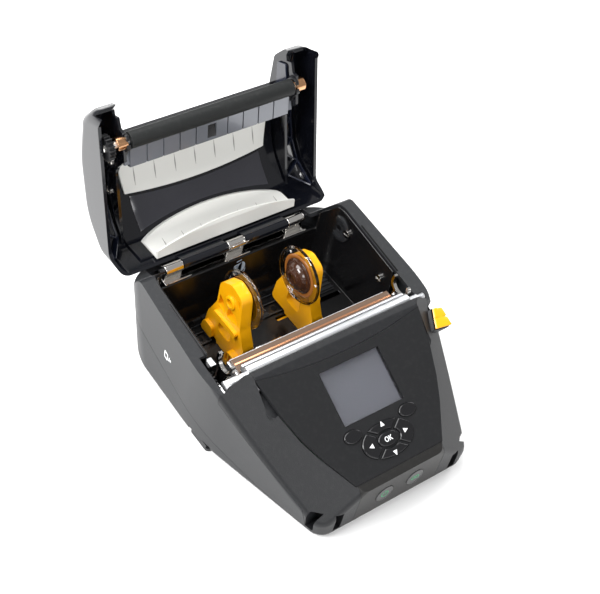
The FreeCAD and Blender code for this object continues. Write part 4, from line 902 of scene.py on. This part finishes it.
halves = []
for start, end in ((0.0, 0.47), (0.53, 1.0)):
    corners = [FACE[0].lerp(FACE[3], start), FACE[1].lerp(FACE[2], start),
               FACE[1].lerp(FACE[2], end), FACE[0].lerp(FACE[3], end)]
    halves.append(wedge("half", 1.0, 0.5, -0.9, 0.7, corners))
halves.append(wedge("body", 0.985, -0.2, -1.0, 0.2))
button = dress(joined_piece(halves, "button_face"), "release_button", "amber_plastic")
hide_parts("release_button")
mouth = wedge("mouth", 1.035, 3.0, -4.8, 0)
dress(carve(wedge("outer", 1.08, -1.2, -8.5, 0.8), [mouth], "button_surround"), "base", "bumper")
print("button ready")

# %% [markdown]
# The bay has ribs and pockets in its floor, a roll sign and moulded rings on its rear wall, a screw boss,
# a rim insert on the left, a near-black painted shadow along the right rim and a block beside the left
# latch. Small near-black discs paint the shade of the floor's pockets. They could be part of the tray; as
# small pieces set on the faces that rays find, each can be moved alone.

# %% Bay details
tray_tree = surface_of("media_tray")


def frame_spots(x0, x1, y0, y1, z, thick=0.8, tall=1.2):
    """Four beams round a rectangle on the floor."""
    ends = [((x0, y0), (x1, y0)), ((x1, y0), (x1, y1)), ((x1, y1), (x0, y1)), ((x0, y1), (x0, y0))]
    return [beam_spot((*a, z), (*b, z), thick, tall) for a, b in ends]


floor_spots = []
for x0, x1 in ((-58, -45), (-42, -26), (-22, 4), (8, 33), (37, 58)):
    floor_spots += frame_spots(x0, x1, 60.6, 67.0, 9.5)
for x0, x1 in ((-42, -31), (8, 28)):
    floor_spots += frame_spots(x0, x1, 47.0, 55.0, 9.9, 0.8, 1.0)
for y in (62.2, 64.4):
    floor_spots.append(beam_spot((-57, y, 9.2), (-46, y, 9.2), 0.6, 0.9))
copies("floor_ribs", unit_beam(), floor_spots, "base", "floor_plastic")
# Near-black discs in shadow_line paint the shade of the floor's pockets.
dimple = lathe("dimple", [(0, 0), (1.9, 0), (1.9, 0.25), (1.5, 0.5), (0, 0.4)], (0, 0, 0), (0, 0, 1), 32)
pocket_shade_spots = [((x, y, 9.0), (0, 0, 0), (1, 1, 1)) for x, y in
                ((-34, 63.8), (20, 63.8), (-9, 63.8), (18, 51), (-36.5, 51), (47, 63.8))]
copies("floor_dimples", dimple, pocket_shade_spots, "base", "shadow_line")
dress(block("floor_strip", (-10, 29.2, 8.7), (9, 30.6, 9.15), 0.1), "base", "nickel")

wall = landing(tray_tree, (0, 45, 34), (0, 1, 0)).y


def on_wall(outlines, thick=0.12):
    """Thin pieces on the rear wall from outlines in X and Z."""
    return [slab("mark", outline, "Y", wall - thick, wall + 0.2, 0) for outline in outlines]


roll = arc((2.2, 35.5), 2.6, 4.4, 28)[:-1]
sign = on_wall([[(-3.6, 32.4), (2.2, 31.1), (2.2, 39.9), (-3.6, 38.6)], roll])
sign += on_wall([stroke((-6.4, 30.0), (0.6, 29.2), 0.9), stroke((0.6, 29.2), (4.6, 25.2), 0.7),
                 stroke((-2.2, 41.4), (1.4, 42.2), 0.7), stroke((4.9, 30.2), (5.2, 33.2), 0.6),
                 stroke((-6.4, 30.0), (-5.2, 32.6), 0.7)])
dress(joined_piece(sign, "roll_sign"), "base", "print_blue")
lines = on_wall([stroke((-3.0 + 1.1 * i, 32.8), (-3.0 + 1.1 * i, 38.4), 0.22) for i in range(5)], 0.18)
dress(joined_piece(lines, "roll_sign_lines"), "base", "tray_plastic")
rings = []
for x, z, r in ((22, 24, 4.6), (56, 27.5, 5.2)):
    rings.append(lathe("ring", [(r - 0.5, 0), (r, 0), (r, 0.3), (r - 0.5, 0.3)], (x, wall + 0.05, z),
                       (0, -1, 0), 48))
    bars = [x - 1.6 + 0.8 * i for i in range(5)]
    rings += on_wall([stroke((bar, z - 1.5), (bar, z + 1.5), 0.3) for bar in bars], 0.25)
dress(joined_piece(rings, "moulded_rings"), "base", "tray_plastic")

boss = [(2.2, 0), (9.2, 0), (9.2, 0.7), (8.6, 1.1), (5.4, 1.1), (4.6, 0.6), (2.2, 0.6)]
side_wall = landing(tray_tree, (40, *BOSS), (1, 0, 0)).x
dress(lathe("screw_boss", boss, (side_wall + 0.1, *BOSS), (-1, 0, 0), 56), "base", "floor_plastic")
case_tree = surface_of("upper_case")
# The right strip, in near-black shadow_line, is a painted shadow along the rim; the left is a tray-plastic
# insert.
for name, x, look in (("right", 67.6, "shadow_line"), ("left", -67.6, "tray_plastic")):
    rows = [[(x + dx, 9 + 1.6 * i, 90) for i in range(24)] for dx in (-1.5, -0.5, 0.5, 1.5)]
    rim_piece = draped("rim_insert_" + name, rows, case_tree, (0, 0, -1), 0.18, 0.2, 0.05)
    dress(rim_piece, "base", look)
dress(block("side_block", (-66.6, 6.2, 40), (-60.6, 12.6, 50), 0.6), "base", "tray_plastic")
dress(block("side_label", (-64.9, 6.6, 50.0), (-61.4, 12.0, 50.15), 0.05), "base", "print_white")
print("bay details:", len(floor_spots), "floor ribs, wall at", round(wall, 1), "side", round(side_wall, 1))

# %% [markdown]
# The yellow arms that carry the discs have recesses, slots and a boss. A draped sheet would look flat
# here, so they are cut out of the arm before its edges are rounded.

# %% Guide arm details


def rework_arm(side):
    """The arm with recesses, a bore and a raised boss on its outer face."""
    name = "guide_arm_" + SIDES[side]
    outer = side * ARM_FACE
    arm = add_mesh("arm", welded(name))
    shapes = [loop([(30.5, 39.0), (41.0, 37.5), (41.0, 45.5), (33.5, 44.0)], 1.2),
              loop([(43.0, 37.5), (50.2, 39.5), (49.8, 48.0), (46.0, 45.5)], 1.2),
              loop([(31.0, 51.5), (35.0, 55.5), (39.0, 57.5), (32.2, 57.8)], 1.0)]
    tools = [slab("cut", shape, "X", outer - side * 4.2, outer + side * 3, 0) for shape in shapes]
    tools += [slab("cut", loop([(y, 12.5), (y + 1.7, 12.5), (y + 1.7, 19.0), (y, 19.0)], 0.5), "X",
                   side * 32.0, side * 40, 0) for y in (22.6, 25.6, 28.6)]
    tools.append(lathe("bore", [(0, 0), (2.3, 0), (2.3, 9), (0, 9)], (outer + side * 3, *ARM_BOSS),
                       (-side, 0, 0), 32))
    arm = carve(arm, tools, name + "_finish")
    round_edges(arm, 0.45, even=False)
    body = "guide_" + SIDES[side]
    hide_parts(name)
    dress(arm, body, "amber_plastic")
    ring = [(2.35, 0), (4.3, 0), (4.3, 1.0), (3.9, 1.3), (2.7, 1.3), (2.35, 1.0)]
    dress(lathe("arm_boss_" + name, ring, (outer, *ARM_BOSS), (side, 0, 0), 40), body, "amber_plastic")


rework_arm(1)
rework_arm(-1)
print("arms ready")

# %% [markdown]
# Nickel frames lie under the knuckles and a bail wire goes over the middle one. A path with a round
# section bends like wire; turned and joined pieces would need a fillet at each corner.

# %% Hinge details
for index, x in enumerate((-42, 0, 42)):
    points = [(x - 7.5, 72.0, 44.8), (x + 7.5, 72.0, 44.8), (x + 7.5, 72.0, 41.4), (x - 7.5, 72.0, 41.4)]
    dress(tube("hinge_frame_%d" % index, points, 0.45, True), "base", "nickel")
bail = rounded([(-6, 75.0, 50), (-6, 72.6, 54.6), (6, 72.6, 54.6), (6, 75.0, 50)], 1.2)
dress(tube("bail_wire", bail, 0.35), "base", "nickel")
print("hinge details ready")

# %% [markdown]
# A small sign is printed on the left flank, webs close the lid's two arms, and fillers close the casing
# beside the panel's upper corners. The sign is draped, as the flank curves; the others are plain prisms.

# %% Flank sign, webs and fillers
PAGE = ((31, 35.0), (34, 36.0), (34, 40.5), (31, 39.5))
lines = list(zip(PAGE, PAGE[1:] + PAGE[:1])) + [((29.2, 36.0), (29.2, 39.0)), ((27.8, 36.6), (27.8, 38.4))]
sign = []
for a, b in lines:
    first, second, third, fourth = [(-120, y, z) for y, z in stroke(a, b, 0.7)]
    sign.append(draped("mark", [[first, second], [fourth, third]], case_tree, (1, 0, 0), 0.1, 0.2))
dress(joined_piece(sign, "flank_sign"), "base", "print_white")

outline = loop([(-20, 66.8), (-20, 69.5), (-15.6, 75.6), (6, 83.6), (10, 80), (3, 67.6)], 1.2)
for side, name in SIDES.items():
    web = slab("arm_web_" + name, outline, "X", side * 58.7, side * 60.3, 0.3)
    dress(web, "lid", "lid_plastic", place=LID)
for side in (-1, 1):
    corner = slab("panel_bed", [(side * 51, 15), (side * 58, 22), (side * 59, 34), (side * 53, 38)],
                  "Z", -9.0, -4.2, 0.3)
    dress(corner, "base", "bumper", PANEL)
print("marks ready")

# %% [markdown]
# The machine stands open on a white floor, seen from above its left front corner. A sky could light it
# alone; a few large lamps can be moved one by one and show on the glossy lid.

# %% Stage
scene = bpy.context.scene
el, az, roll = math.radians(46.89), math.radians(-47.68), math.radians(15.42)
forward = Vector((-math.sin(az) * math.cos(el), math.cos(az) * math.cos(el), -math.sin(el)))
right = forward.cross(Vector((0, 0, 1))).normalized()
up = right.cross(forward)
side = right * math.cos(roll) + up * math.sin(roll)
top = up * math.cos(roll) - right * math.sin(roll)
eye = Vector((-0.3851, -0.3346, 0.6208))
lens = bpy.data.cameras.new("camera")
lens.sensor_width = 36
lens.lens = 81
camera = bpy.data.objects.new("camera", lens)
scene.collection.objects.link(camera)
camera.matrix_world = Matrix(((side.x, top.x, -forward.x, eye.x), (side.y, top.y, -forward.y, eye.y),
                              (side.z, top.z, -forward.z, eye.z), (0, 0, 0, 1)))
scene.camera = camera


def soft_light(name, place, power, width, tall, colour=(1, 1, 1)):
    """A rectangular studio light that faces the object."""
    lamp = bpy.data.lights.new(name, "AREA")
    lamp.shape = "RECTANGLE"
    lamp.size, lamp.size_y = width, tall
    lamp.energy = power
    lamp.color = colour
    obj = bpy.data.objects.new(name, lamp)
    obj.location = place
    obj.rotation_euler = (Vector((0, 0, 0.05)) - Vector(place)).to_track_quat("-Z", "Y").to_euler()
    scene.collection.objects.link(obj)


soft_light("key", (-0.80, 0.15, 0.85), 16, 0.6, 0.5)
soft_light("top", (-0.15, 0.75, 1.25), 24, 1.3, 0.9)
soft_light("front", (-0.25, -1.1, 0.9), 12, 1.2, 0.5)
soft_light("rim", (0.95, 0.25, 0.40), 5, 0.3, 0.6)
world = bpy.data.worlds.new("studio")
scene.world = world
world.use_nodes = True
for label, value in (("Color", (1.0, 1.0, 1.0, 1)), ("Strength", 0.42)):
    world.node_tree.nodes["Background"].inputs[label].default_value = value
scene.view_settings.view_transform = "Standard"
scene.view_settings.look = "None"
floor = slab("floor", [(-3000, -3000), (3000, -3000), (3000, 3000), (-3000, 3000)], "Z", -20, -0.02, 0)
floor.data.materials.clear()
floor.data.materials.append(material("floor", (0.93, 0.93, 0.93), 0.6, grain=(60, 0.02), shift=0.0))
print("stage ready")
